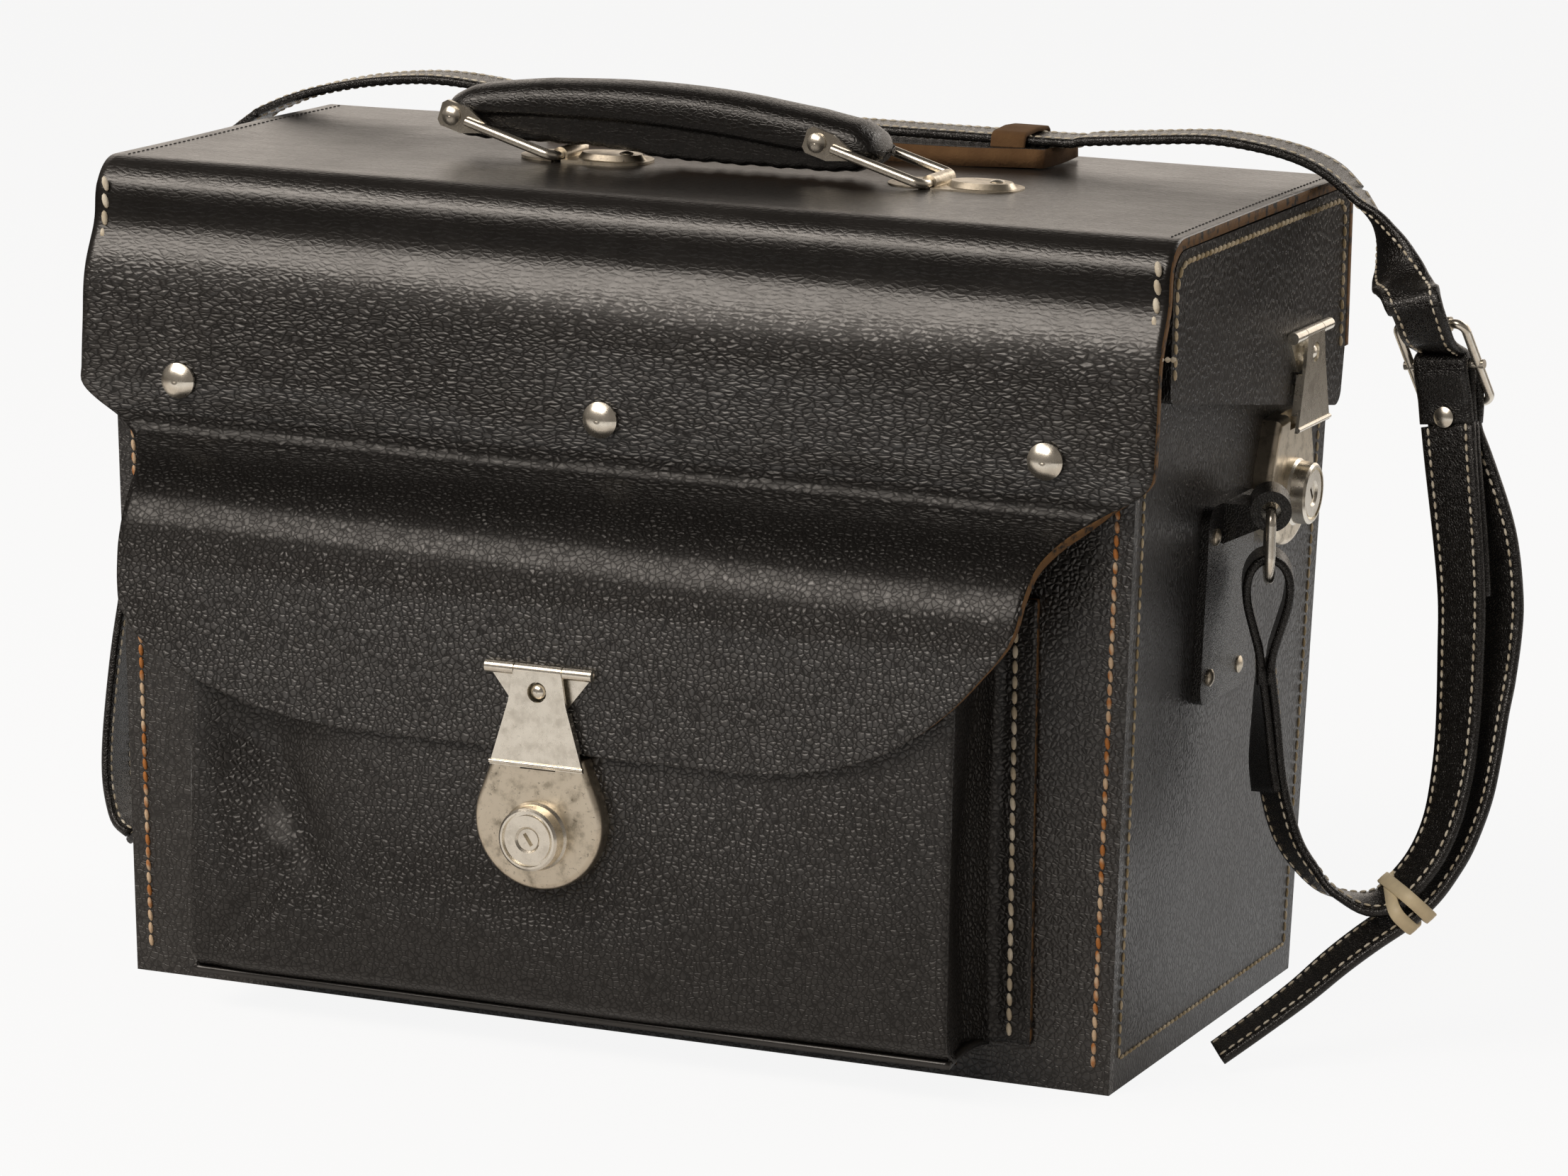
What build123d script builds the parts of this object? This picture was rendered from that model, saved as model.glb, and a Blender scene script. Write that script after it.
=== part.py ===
from build123d import *
from math import asin, cos, radians, sin, tan
import os

# Camera case of leather over board: a box with a flaring body, a deep hinged lid whose front
# leather runs down as a flap over a gusseted pocket, three key locks, a folding handle and a
# shoulder strap. Millimetres. X runs to the right, Y to the back, Z up. The origin is the
# middle of the underside.

# Body of the case
case_width = 367.0
case_depth = 187.5
flare = tan(radians(1.45))
rim_height = 244.0
wall = 4.0
floor = 4.0
lining = 1.2
rim_inset = 23.75
rim_back = case_depth / 2 - rim_inset
rim_drop = 22.0
side_seam = 1.5

# Leather hinge at the back of the lid, placed from the back wall and the rim
hinge_inset = 2.25
hinge_drop = 16.0
hinge_gap = 0.5
shoulder_drop = 23.0
hinge_y = case_depth / 2 - hinge_inset
hinge_z = rim_height - hinge_drop
back_shoulder = hinge_z - shoulder_drop

# Lid, placed by how far it stands above and outside the case
side_lap = 14.2
front_lap = 3.75
lid_rise = 45.5
cover = 4.0
skirt = 4.5
skirt_front_lap = 8.0
skirt_back_lap = 36.0
skirt_back_inset = 5.5
front_fold = 13.0
back_fold = 8.0
step_drop = 19.5
bulge_out = 11.5
bulge_drop = 39.5
bulge_bend = 12.0
lid_lining = 1.8
lid_width = case_width + 2 * side_lap
lid_front = case_depth / 2 + front_lap
lid_top = rim_height + lid_rise
skirt_front_z = rim_height - skirt_front_lap
skirt_back_z = rim_height - skirt_back_lap
skirt_back_y = hinge_y - skirt_back_inset
step_z = lid_top - step_drop
bulge_y = case_depth / 2 + bulge_out
bulge_z = lid_top - bulge_drop

# Front flap, hung from the lid's front leather
flap_hinge_drop = 40.0
flap_gap = 0.3
flap_width = 330.0
flap_length = 96.0
flap_corner = 50.0
flap_thick = 3.5
shoulder_rise = 4.0
shoulder_round = 16.0
neck_drop = 14.0
neck_round = 30.0
valley_drop = 9.0
valley_out = 1.5
knee_drop = 20.0
knee_back = 13.0
knee_rise = 5.0
valley_bend = 10.0
knee_bend = 12.0
flap_hinge_z = rim_height - flap_hinge_drop
flap_bottom = flap_hinge_z - flap_length
shoulder_z = flap_hinge_z + shoulder_rise
neck_z = flap_hinge_z - neck_drop

# Front pocket
pocket_width = 282.0
pocket_bottom = 15.0
pocket_swell = 43.25
pocket_corner = 9.0
pocket_wall = 2.5
pocket_front = 3.0
mouth_drop = 37.0
flange = 14.0
flap_clear = 0.6
pocket_depth = case_depth / 2 + pocket_swell
pocket_top = flap_hinge_z - mouth_drop

# Studs on the front of the lid
stud_radius = 6.25
stud_height = 3.6
stud_spread = 160.0
stud_rise = 12.0
stud_z = flap_hinge_z + stud_rise

# Locks: the same lock three times, drawn about the middle of its barrel
case_radius = 23.5
case_rise = 4.5
case_top = 27.0
case_top_half = 16.5
lock_depth = 6.8
barrel_radius = 10.75
barrel_base = 11.8
barrel_height = 8.0
plug_radius = 3.7
fit_clear = 0.05
notch_half = 6.5
notch_floor = 22.5
notch_depth = 4.0
hasp_bottom = 23.3
hasp_top = 58.6
hasp_half_top = 8.75
hasp_half_waist = 10.6
hasp_half_bottom = 17.2
waist = 45.5
knuckle = 2.1
pin_radius = 1.1
sheet = 1.2
plate_sheet = 1.0
wing_half = 19.6
wing_low = 43.3
hasp_rivet = 49.4
front_lock_x = -5.0
front_lock_drop = 28.5
front_lock_z = flap_bottom - front_lock_drop
side_lock_y = 45.0
side_lock_drop = 60.0
side_lock_z = rim_height - side_lock_drop
lug_half = 3.5
lug_reach_front = 3.2
lug_reach_side = 6.2

# Rivets
rivet_shank = 1.6
rivet_head = 3.0
rivet_dome = 1.5

# Handle on the lid
handle_y = -12.0
bar_span = 138.5
bar_middle = 13.5
bar_lift = 2.0
link_run = 39.5
link_rise = 11.8
wire = 1.8
grip_half = 12.5
grip_length = 168.0
grip_top = 15.0
grip_under = 2.0
belly_drop = 8.6
belly_half = 10.0
eye_thick = 1.6
eye_width = 9.5
side_gap = 0.3
grip_pin = 2.0
plate_length = 48.0
plate_width = 25.0
plate_lead = 6.5
plate_thick = 1.0
lobe_height = 1.9

# Strap tabs and rings on the two sides
tab_y = -7.0
tab_width = 48.0
tab_low = 121.0
tab_high = 190.0
tab_thick = 3.0
loop_width = 18.6
ring_stand = 21.0
ring_x = case_width / 2 + ring_stand
ring_z = 188.0
ring_turn = 20.0
ring_wire = 1.8
ring_half = 13.5
ring_drop = 24.0
loop_radius = 7.0
loop_hole = 3.4

# Shoulder strap
strap_width = 20.0
strap_thick = 3.0
strap_split = 14.3
split_x = lid_width / 2 + strap_split
pad_length = 190.0
pad_width = 46.0
pad_thick = 7.0
pad_y = 58.0
soft_gap = 0.3
eye_hole = 5.8
eye_leg = 34.0

# Buckle on the strap: a frame with a middle bar, tilted against the strap
buckle_at = (251.3, 34.5, 234.5)
buckle_tilt = 33.0
buckle_half_width = 12.6
buckle_up = 18.0
buckle_down = 16.5
buckle_wire = 1.6
sleeve_radius = 2.5

# Cutting blocks reach this far, past every piece
beyond = 400.0


def side_x(z):
    return case_width / 2 + z * flare


def front_y(z):
    return case_depth / 2 + z * flare


def across(outline, half):
    """A solid whose outline is drawn in Y and Z, running along X on both sides of the middle."""
    return extrude(Plane.YZ * outline, amount=half, both=True)


def facing(outline, near, far):
    """A solid whose outline is drawn in X and Z, from Y = near to Y = far."""
    start = Plane(origin=(0, near, 0), x_dir=(1, 0, 0), z_dir=(0, -1, 0))
    return extrude(start * outline, amount=near - far)


def turned(*lines):
    """A solid turned about Z from lines drawn as radius and height."""
    return revolve(Plane.XZ * make_face(lines), Axis.Z)


def leather(path, thickness):
    """A leather strip seen from its edge: rounded ends, constant thickness about a path."""
    edge = offset(path, amount=thickness / 2, side=Side.BOTH, kind=Kind.ARC)
    return make_face(edge.edges())


def block(low, high):
    size = [b - a for a, b in zip(low, high)]
    return Pos(*low) * Box(*size, align=(Align.MIN, Align.MIN, Align.MIN))


def mirrored(part):
    return mirror(part, about=Plane.YZ)


def rivet(head, dome, shank, length):
    """A dome-headed rivet that stands on the plane Z = 0, its shank below."""
    rim = dome * 0.3
    ball = ((dome - rim) ** 2 + head**2) / (2 * (dome - rim))
    half_angle = asin(head / ball) / 2
    middle = (ball * sin(half_angle), dome - ball + ball * cos(half_angle))
    arc = ThreePointArc((head, rim), middle, (0, dome))
    rest = Polyline((0, dome), (0, -length), (shank, -length), (shank, 0), (head, 0), (head, rim))
    return turned(arc, rest)


def between_sides(inset):
    """Everything between the two leaning side walls, brought in by an inset."""
    reach = rim_height + 60
    low = side_x(0) - inset
    high = side_x(reach) - inset
    outline = Polygon((-low, 0), (low, 0), (high, reach), (-high, reach))
    return facing(outline, beyond, -beyond)


def back_line(inset):
    """The back wall's line from the bottom to the hinge, as points in Y and Z."""
    return [
        (front_y(0) - inset, 0),
        (front_y(back_shoulder) - inset, back_shoulder),
        (hinge_y + wall / 2 - inset, hinge_z - cover / 2 - hinge_gap),
    ]


def front_line(inset):
    return [(-front_y(0) + inset, 0), (-front_y(rim_height) + inset, rim_height)]


def slab(line, thickness):
    shifted = [(y + thickness, z) for y, z in line]
    return Polygon(*line, *reversed(shifted))


def front_panel():
    wall_solid = across(slab(front_line(0), wall), beyond)
    panel = wall_solid & between_sides(0)
    corner_edges = panel.edges().filter_by(lambda e: e.length > rim_height * 0.9).group_by(Axis.Y)[0]
    return fillet(corner_edges, side_seam)


def back_panel():
    return across(slab(back_line(0), -wall), beyond) & between_sides(0)


def wall_outline(inset):
    """The inside of the case seen from the side, up to its rim, which falls away at the back."""
    hinge_end = back_line(inset)[-1]
    low_rim = hinge_z - rim_drop / 4
    points = front_line(inset) + [(rim_back, rim_height), (hinge_end[0] - rim_drop, low_rim)]
    points += [(hinge_end[0] - wall, low_rim), back_line(inset)[1], back_line(inset)[0]]
    return Polygon(*points)


def side_panel():
    ring = between_sides(0) - between_sides(wall)
    panel = ring & across(wall_outline(wall), beyond)
    return panel & block((0, -beyond, -1), (beyond, beyond, rim_height + 1))


def inside(inset):
    """The hollow of the case, open at the top, brought in by an inset from walls and floor."""
    back = back_line(wall + inset)
    outline = Polygon(*front_line(wall + inset), (back[-1][0], rim_height), *reversed(back))
    hollow = across(outline, beyond) & between_sides(wall + inset)
    return hollow & block((-beyond, -beyond, floor + inset), (beyond, beyond, rim_height + 1))


def bottom_panel():
    slice_low = block((-beyond, -beyond, 0), (beyond, beyond, floor))
    sheet_solid = across(wall_outline(wall), beyond) & between_sides(wall)
    return sheet_solid & slice_low


def lining_tray():
    under_rim = across(wall_outline(wall), beyond)
    return (inside(0) - inside(lining)) & under_rim


def cover_path():
    points = [
        (hinge_y, hinge_z),
        (hinge_y, lid_top - cover / 2),
        (-lid_front + cover / 2, lid_top - cover / 2),
        (-lid_front + cover / 2, step_z),
        (-bulge_y, bulge_z),
        (-bulge_y, flap_hinge_z + cover / 2 + flap_thick / 2 + flap_gap),
    ]
    return FilletPolyline(*points, radius=[back_fold, front_fold, bulge_bend, bulge_bend])


def front_outline():
    """The front leather seen from the front: full width, then a neck, then the flap."""
    half = lid_width / 2
    tongue = flap_width / 2
    right = [(half, lid_top + 10), (half, shoulder_z), (tongue, neck_z), (tongue, flap_bottom)]
    left = [(-x, z) for x, z in reversed(right)]
    radii = [1, shoulder_round, neck_round, flap_corner]
    return make_face(FilletPolyline(*right, *left, radius=[*radii, *reversed(radii)], close=True))


def lid_cover():
    solid = across(leather(cover_path(), cover), lid_width / 2)
    apron = block((-beyond, -beyond, flap_bottom), (beyond, -lid_front + cover, step_z))
    trimmed = solid - (apron - facing(front_outline(), 0, -beyond))
    for x in (-stud_spread, 0, stud_spread):
        trimmed -= stud_shank(x, fit_clear)
    for bar_x in bars():
        for x in plate_rivet_places(bar_x):
            hole = Cylinder(rivet_shank + fit_clear, cover + 2)
            trimmed -= Pos(x, handle_y, lid_top - cover / 2) * hole
    return trimmed


def skirt_outline():
    back = hinge_y - cover / 2
    front = -lid_front + cover
    top = lid_top - cover
    points = [
        (back, hinge_z),
        (back, top),
        (front, top),
        (front, skirt_front_z),
        (skirt_back_y, skirt_back_z),
    ]
    radii = [3, back_fold - cover / 2, front_fold - cover / 2, 4, 6]
    return make_face(FilletPolyline(*points, radius=radii, close=True))


def lid_skirt():
    outline = skirt_outline()
    inner = lid_width / 2 - skirt
    panel = extrude(Plane(origin=(inner, 0, 0), x_dir=(0, 1, 0), z_dir=(1, 0, 0)) * outline, amount=skirt)
    hole = Cylinder(rivet_shank + fit_clear, 4 * skirt)
    return panel - side_hasp_frame() * (Pos(0, hasp_rivet, 0) * hole)


def lid_inner_lining():
    half = lid_width / 2 - skirt
    strip_low = lid_top - cover - lid_lining
    strip = block((-beyond, -beyond, strip_low), (beyond, beyond, lid_top))
    return across(skirt_outline(), half) & strip


def stud_plane(x):
    outside = bulge_y + cover / 2
    return Plane(origin=(x, -outside, stud_z), x_dir=(1, 0, 0), z_dir=(0, -1, 0)).location


def stud_shank(x, clear):
    return stud_plane(x) * Cylinder(rivet_shank + clear, 3 * cover)


def lid_studs():
    stud = rivet(stud_radius, stud_height, rivet_shank, cover)
    return [stud_plane(x) * stud for x in (-stud_spread, 0, stud_spread)]


def flap_path():
    out = pocket_depth + flap_clear + flap_thick / 2
    points = [
        (-bulge_y, flap_hinge_z),
        (-bulge_y - valley_out, flap_hinge_z - valley_drop),
        (-out + knee_back, flap_hinge_z - knee_drop),
        (-out, pocket_top + knee_rise),
        (-out, flap_bottom),
    ]
    return FilletPolyline(*points, radius=[valley_bend, valley_bend, knee_bend])


def front_flap():
    leaf = across(leather(flap_path(), flap_thick), beyond)
    leaf = leaf & facing(front_outline(), 0, -beyond)
    hole = front_hasp_frame() * (Pos(0, hasp_rivet, 0) * Cylinder(rivet_shank + fit_clear, 4 * cover))
    return leaf - hole


def pocket_outline(inset):
    half = pocket_width / 2 - inset
    low = pocket_bottom + inset
    points = [(half, pocket_top), (-half, pocket_top), (-half, low), (half, low)]
    low_round = pocket_corner - inset
    return make_face(FilletPolyline(*points, radius=[0.5, 0.5, low_round, low_round], close=True))


def pocket_gusset():
    back = -case_depth / 2
    near = -pocket_depth + pocket_front
    walls = facing(pocket_outline(0), back, near)
    walls -= facing(pocket_outline(pocket_wall), back + 1, near - 1)
    walls -= block((-beyond, near - 5, pocket_top - 1), (beyond, back + 5, pocket_top + 5))
    rim = facing(pocket_outline(-flange), back, back - pocket_wall - rim_height * flare)
    rim -= facing(pocket_outline(pocket_wall), back + 1, -pocket_depth)
    lean_line = slab([(y - pocket_wall, z) for y, z in front_line(0)], pocket_wall)
    rim = rim & across(lean_line, beyond)
    walls -= across(slab(front_line(0), case_depth / 2), 250)
    gusset = walls + rim
    return gusset & block((-beyond, -beyond, pocket_bottom - flange), (beyond, 0, pocket_top - 1))


def pocket_panel():
    plate = facing(pocket_outline(0), -pocket_depth + pocket_front, -pocket_depth)
    outer = plate.faces().sort_by(Axis.Y)[0]
    return fillet(outer.edges().group_by(Axis.Z)[0], pocket_front - 0.6)


def front_lock_frame():
    origin = (front_lock_x, -pocket_depth, front_lock_z)
    return Plane(origin=origin, x_dir=(1, 0, 0), z_dir=(0, -1, 0)).location


def front_hasp_frame():
    origin = (front_lock_x, -pocket_depth - flap_clear - flap_thick, front_lock_z)
    return Plane(origin=origin, x_dir=(1, 0, 0), z_dir=(0, -1, 0)).location


def side_lock_frame():
    origin = (side_x(side_lock_z), side_lock_y, side_lock_z)
    return Plane(origin=origin, x_dir=(0, 1, 0), z_dir=(1, 0, -flare)).location


def side_hasp_frame():
    origin = (lid_width / 2, side_lock_y, side_lock_z)
    return Plane(origin=origin, x_dir=(0, 1, 0), z_dir=(1, 0, 0)).location


def lock_case():
    """The egg-shaped dish that holds the lock, with the mortise for the hasp's lug."""
    circle = Pos(0, case_rise) * Circle(case_radius)
    top = Polyline((-case_top_half, case_top), (case_top_half, case_top))
    egg = make_hull(circle.edges() + top.edges())
    dish = extrude(egg, amount=lock_depth)
    rim = dish.faces().sort_by(Axis.Z)[-1].edges()
    dish = fillet(rim, 2.2)
    mortise = block(
        (-notch_half, notch_floor, lock_depth - notch_depth), (notch_half, case_top + 1, lock_depth + 1)
    )
    return dish - mortise


def lock_barrel():
    """The stepped collar round the plug, with a groove between its two face rings."""
    foot = lock_depth
    face = foot + barrel_height
    groove_out = barrel_radius - 1.5
    groove_in = groove_out - 0.9
    bore = plug_radius + fit_clear
    points = [
        (bore, foot),
        (barrel_base, foot),
        (barrel_base, foot + 1.6),
        (barrel_radius + 0.3, foot + 2.6),
        (barrel_radius, face - 0.8),
        (barrel_radius - 0.8, face),
        (groove_out, face),
        (groove_out, face - 1.2),
        (groove_in, face - 1.2),
        (groove_in, face - 0.3),
        (bore + 0.8, face - 0.3),
        (bore, face - 1.1),
        (bore, foot),
    ]
    return turned(Polyline(*points))


def lock_plug():
    """The turning plug, with its keyway and the small slot below it."""
    foot = lock_depth
    face = foot + barrel_height - 1.0
    plug = Pos(0, 0, (foot + face) / 2) * Cylinder(plug_radius, face - foot)
    way = Rot(0, 0, 35) * Box(1.3, 4.8, 5)
    return plug - Pos(0, 0, face) * way


def hasp_plate():
    """The winged plate under the hasp, rolled at the top into two outer knuckles."""
    axle = hasp_top - knuckle
    wing = [(hasp_half_top + 0.5, wing_low), (wing_half, axle), (-wing_half, axle)]
    wing += [(-hasp_half_top - 0.5, wing_low)]
    outline = Polygon(*wing)
    for side in (-1, 1):
        corner = Pos(side * (wing_half + 1.5), wing_low - 1) * Circle(wing_half - hasp_half_top - 4.5)
        outline -= corner
    plate = extrude(outline, amount=plate_sheet)
    tube_length = wing_half - hasp_half_top - 0.3
    for side in (-1, 1):
        tube = Rot(0, 90, 0) * Cylinder(knuckle, tube_length)
        plate += Pos(side * (wing_half + hasp_half_top + 0.3) / 2, axle, knuckle) * tube
    middle_half = hasp_half_top + 0.3
    middle = block((-middle_half, axle - knuckle - 0.4, -1), (middle_half, hasp_top + 1, 9))
    plate -= middle
    plate -= Pos(0, axle, knuckle) * (Rot(0, 90, 0) * Cylinder(pin_radius + fit_clear, 60))
    return plate - Pos(0, hasp_rivet, 0) * Cylinder(rivet_shank + fit_clear, 8)


def hasp_pin():
    axle = hasp_top - knuckle
    return Pos(0, axle, knuckle) * (Rot(0, 90, 0) * Cylinder(pin_radius, 2 * wing_half - 0.4))


def hasp(reach):
    """The bell-shaped hasp: rolled knuckle, folded edges, bead at its foot and its lug."""
    axle = hasp_top - knuckle
    low = 2 * knuckle - sheet - 0.05
    right = [(hasp_half_bottom, hasp_bottom), (hasp_half_waist, waist), (hasp_half_top, axle)]
    left = [(-x, y) for x, y in reversed(right)]
    outline = Polygon(*right, *left)
    leaf = Pos(0, 0, low) * extrude(outline, amount=sheet)
    inner = [(x - sheet if x > 0 else x + sheet, y) for x, y in right + left]
    fold = extrude(outline - Polygon(*inner), amount=low)
    fold_low = case_top + 2.5
    fold_high = wing_low - 0.5
    keep = block((-30, fold_low, low - 1.9), (30, fold_high, low))
    leaf += fold & keep
    tube = Rot(0, 90, 0) * Cylinder(knuckle, 2 * hasp_half_top - 0.2)
    leaf += Pos(0, axle, knuckle) * tube
    bead_run = Rot(0, 90, 0) * Cylinder(0.8, 2 * hasp_half_bottom)
    leaf += Pos(0, hasp_bottom + 1.1, 2 * knuckle - 0.1) * bead_run
    lug_top = hasp_bottom + 3.5
    leaf += block((-lug_half, hasp_bottom + 1, low - reach), (lug_half, lug_top, low + 0.1))
    leaf -= Pos(0, axle, knuckle) * (Rot(0, 90, 0) * Cylinder(pin_radius + fit_clear, 60))
    return leaf - Pos(0, hasp_rivet, 0) * Cylinder(rivet_head + 0.5, 12)


def hasp_rivet_part():
    return Pos(0, hasp_rivet, plate_sheet) * rivet(rivet_head, 3.4, rivet_shank, plate_sheet + flap_thick)


def bars():
    return [bar_middle - bar_span / 2, bar_middle + bar_span / 2]


def bar_height():
    return lid_top + bar_lift


def plate_rivet_places(bar_x):
    lead = bar_x + plate_lead
    return [lead - plate_length / 2 + 6, lead + plate_length / 2 - 9]


def handle_plate(bar_x):
    """A stamped plate: flat rim, raised lobe, and a saddle struck up over the bail's bar."""
    lead = bar_x + plate_lead
    outline = RectangleRounded(plate_length, plate_width, plate_width / 2 - 1)
    plate = Pos(lead, handle_y, lid_top) * extrude(outline, amount=plate_thick)
    lobe = extrude(Ellipse(12.5, 8.8), amount=lobe_height, taper=38)
    plate += Pos(lead + 9.5, handle_y, lid_top + plate_thick) * lobe
    saddle_half = wire + fit_clear + plate_thick
    hump = Rot(90, 0, 0) * Cylinder(saddle_half, plate_width - 7)
    plate += Pos(bar_x, handle_y, bar_height()) * hump
    plate -= block((bar_x - plate_length, -beyond, 0), (bar_x + plate_length, beyond, lid_top))
    channel = Pos(bar_x, handle_y, bar_height()) * (Rot(90, 0, 0) * Cylinder(wire + fit_clear, 60))
    slot_low = block(
        (bar_x - wire - fit_clear, handle_y - 30, lid_top - 1),
        (bar_x + wire + fit_clear, handle_y + 30, bar_height()),
    )
    plate -= channel + slot_low
    for x in plate_rivet_places(bar_x):
        plate -= Pos(x, handle_y, lid_top) * Cylinder(rivet_shank + fit_clear, 20)
    return plate


def handle_plate_rivets():
    group = []
    for bar_x in bars():
        back, front = plate_rivet_places(bar_x)
        group.append(Pos(back, handle_y, lid_top + plate_thick) * rivet(2.6, 1.0, rivet_shank, 4))
        top = lid_top + plate_thick + lobe_height
        group.append(Pos(front, handle_y, top) * rivet(2.6, 1.0, rivet_shank, 4 + lobe_height))
    return group


def bail(bar_x):
    """A wire bail: bar in the saddle, two legs, and flattened eyes beside the grip."""
    length = (link_run**2 + link_rise**2) ** 0.5
    leg = grip_half + side_gap + wire
    neck = length - 6
    path = FilletPolyline((neck, leg), (0, leg), (0, -leg), (neck, -leg), radius=4)
    section = Plane(origin=(neck, leg, 0), x_dir=(0, 1, 0), z_dir=(-1, 0, 0)) * Circle(wire)
    frame = sweep(section, path=path)
    half = eye_width / 2
    outline = Polygon(
        (neck - 7, -wire),
        (neck + 1, -half),
        (length + half - 1.6, -half),
        (length + half, -half + 1.6),
        (length + half, half - 1.6),
        (length + half - 1.6, half),
        (neck + 1, half),
        (neck - 7, wire),
    )
    for side in (-1, 1):
        near = side * (grip_half + side_gap)
        plane = Plane(origin=(0, near, 0), x_dir=(1, 0, 0), z_dir=(0, side, 0))
        eye_face = plane * (outline if side < 0 else mirror(outline, about=Plane.XZ))
        frame += extrude(eye_face, amount=eye_thick)
    frame -= Pos(length, 0, 0) * (Rot(90, 0, 0) * Cylinder(grip_pin + fit_clear, 60))
    lift = Vector(-link_run, 0, link_rise).normalized()
    place = Plane(origin=(bar_x, handle_y, bar_height()), x_dir=lift, z_dir=(-lift.Z, 0, lift.X))
    return place.location * (Rot(180, 0, 0) * frame)


def grip_frame():
    return Pos(bar_middle - link_run, handle_y, bar_height() + link_rise)


def handle_grip():
    """The moulded leather grip: an arched upper shell and a narrower belly under it."""
    end = grip_length / 2
    right = [
        (20, grip_top),
        (50, grip_top - 1.4),
        (end - 9, grip_top - 5),
        (end + 0.5, 3),
        (end - 2, -5.5),
        (end - 14, -8.5),
        (40, grip_under - 4),
    ]
    left = [(-x, z) for x, z in reversed(right)]
    half_radii = [60, 40, 12, 5, 4, 6, 60]
    outline = FilletPolyline(
        *right, (0, grip_under - 1), *left, radius=[*half_radii, 80, *reversed(half_radii)], close=True
    )
    shell = extrude(Plane.XZ * make_face(outline), amount=grip_half, both=True)
    long_edges = shell.edges().filter_by(lambda e: abs(abs(e.center().Y) - grip_half) < 0.01)
    shell = fillet(long_edges, 4)
    low = -belly_drop
    belly_points = [(-end + 12, -2), (-end + 20, low), (-12, low), (8, low - 2.6), (end - 20, low - 2.6)]
    belly_points += [(end - 10, -2), (0, 6)]
    radii = [1, 6, 10, 10, 8, 1, 60]
    belly = make_face(FilletPolyline(*belly_points, radius=radii, close=True))
    belly_solid = extrude(Plane.XZ * belly, amount=belly_half, both=True)
    grip = shell + belly_solid
    for x in (-bar_span / 2, bar_span / 2):
        grip -= Pos(x, 0, 0) * (Rot(90, 0, 0) * Cylinder(grip_pin + fit_clear, 60))
    return grip_frame() * grip


def grip_rivets():
    group = []
    reach = grip_half + side_gap + eye_thick + 0.15
    for x in (-bar_span / 2, bar_span / 2):
        pin = Rot(90, 0, 0) * Cylinder(grip_pin, 2 * reach)
        head = rivet(3.4, 1.9, grip_pin, 1)
        pin += Pos(0, -reach, 0) * (Rot(90, 0, 0) * head)
        pin += Pos(0, reach, 0) * (Rot(-90, 0, 0) * head)
        group.append(grip_frame() * (Pos(x, 0, 0) * pin))
    return group


def tab_rivet_places():
    half = tab_width / 2
    return [
        (tab_y - half + 8, tab_high - 11),
        (tab_y + half - 8, tab_high - 11),
        (tab_y - half + 9, tab_low + 9),
        (tab_y + half - 9, tab_low + 8),
    ]


def tab_rivet_frame(y, z):
    origin = (side_x(z) + tab_thick, y, z)
    return Plane(origin=origin, x_dir=(0, 1, 0), z_dir=(1, 0, -flare)).location


def strap_tab():
    """The leather patch on the side, and the loop at its top that carries the ring."""
    patch = Polygon(
        (side_x(tab_low), tab_low),
        (side_x(tab_low) + tab_thick, tab_low),
        (side_x(tab_high) + tab_thick, tab_high),
        (side_x(tab_high), tab_high),
    )
    tab = facing(patch, tab_y + tab_width / 2, tab_y - tab_width / 2)
    sharp = tab.edges().filter_by(Axis.X, tolerance=5)
    tab = fillet(sharp, 6)
    roll = ring_frame() * barrel_along(loop_radius, loop_width)
    low = tab_high - 16
    high = tab_high - 0.5
    wing_low = (ring_x, ring_z - loop_radius + 1)
    wing = Polygon((side_x(low), low), wing_low, (ring_x, high), (side_x(high), high))
    tab += roll + facing(wing, tab_y + loop_width / 2, tab_y - loop_width / 2)
    tab -= ring_frame() * barrel_along(loop_hole, 4 * loop_width)
    for y, z in tab_rivet_places():
        tab -= tab_rivet_frame(y, z) * Cylinder(rivet_shank + fit_clear, 4 * tab_thick)
    return tab


def tab_rivets():
    one = rivet(rivet_head, rivet_dome, rivet_shank, tab_thick - 0.1)
    return [tab_rivet_frame(y, z) * one for y, z in tab_rivet_places()]


def ring_frame():
    """The ring's bar: its middle, turned a little about Z so that its front end stands out."""
    return Pos(ring_x, tab_y, ring_z) * Rot(0, 0, ring_turn)


def barrel_along(radius, length):
    return Rot(90, 0, 0) * Cylinder(radius, length)


def strap_ring():
    """A wire ring of rounded rectangle shape, hanging from the tab's loop."""
    points = [(0, 0), (ring_half, 0), (ring_half, -ring_drop), (0, -ring_drop)]
    half_path = Plane.YZ * FilletPolyline(*points, radius=[4, 9])
    section = Plane(origin=(0, 0, 0), x_dir=(0, 0, 1), z_dir=(0, 1, 0)) * Circle(ring_wire)
    half = sweep(section, path=half_path)
    return ring_frame() * (half + mirror(half, about=Plane.XZ))


def ring_eye():
    """The strap end folded round the ring: a teardrop loop over two layers."""
    outer = Pos(0, -ring_drop) * Circle(eye_hole + strap_thick)
    low = -ring_drop - eye_leg
    foot = Polyline((-strap_thick, low), (strap_thick, low))
    body = make_hull(outer.edges() + foot.edges())
    tip = Polyline((-0.2, -ring_drop - 15), (0.2, -ring_drop - 15))
    body -= make_hull((Pos(0, -ring_drop) * Circle(eye_hole)).edges() + tip.edges())
    return ring_frame() * facing(body, strap_width / 2, -strap_width / 2)


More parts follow.
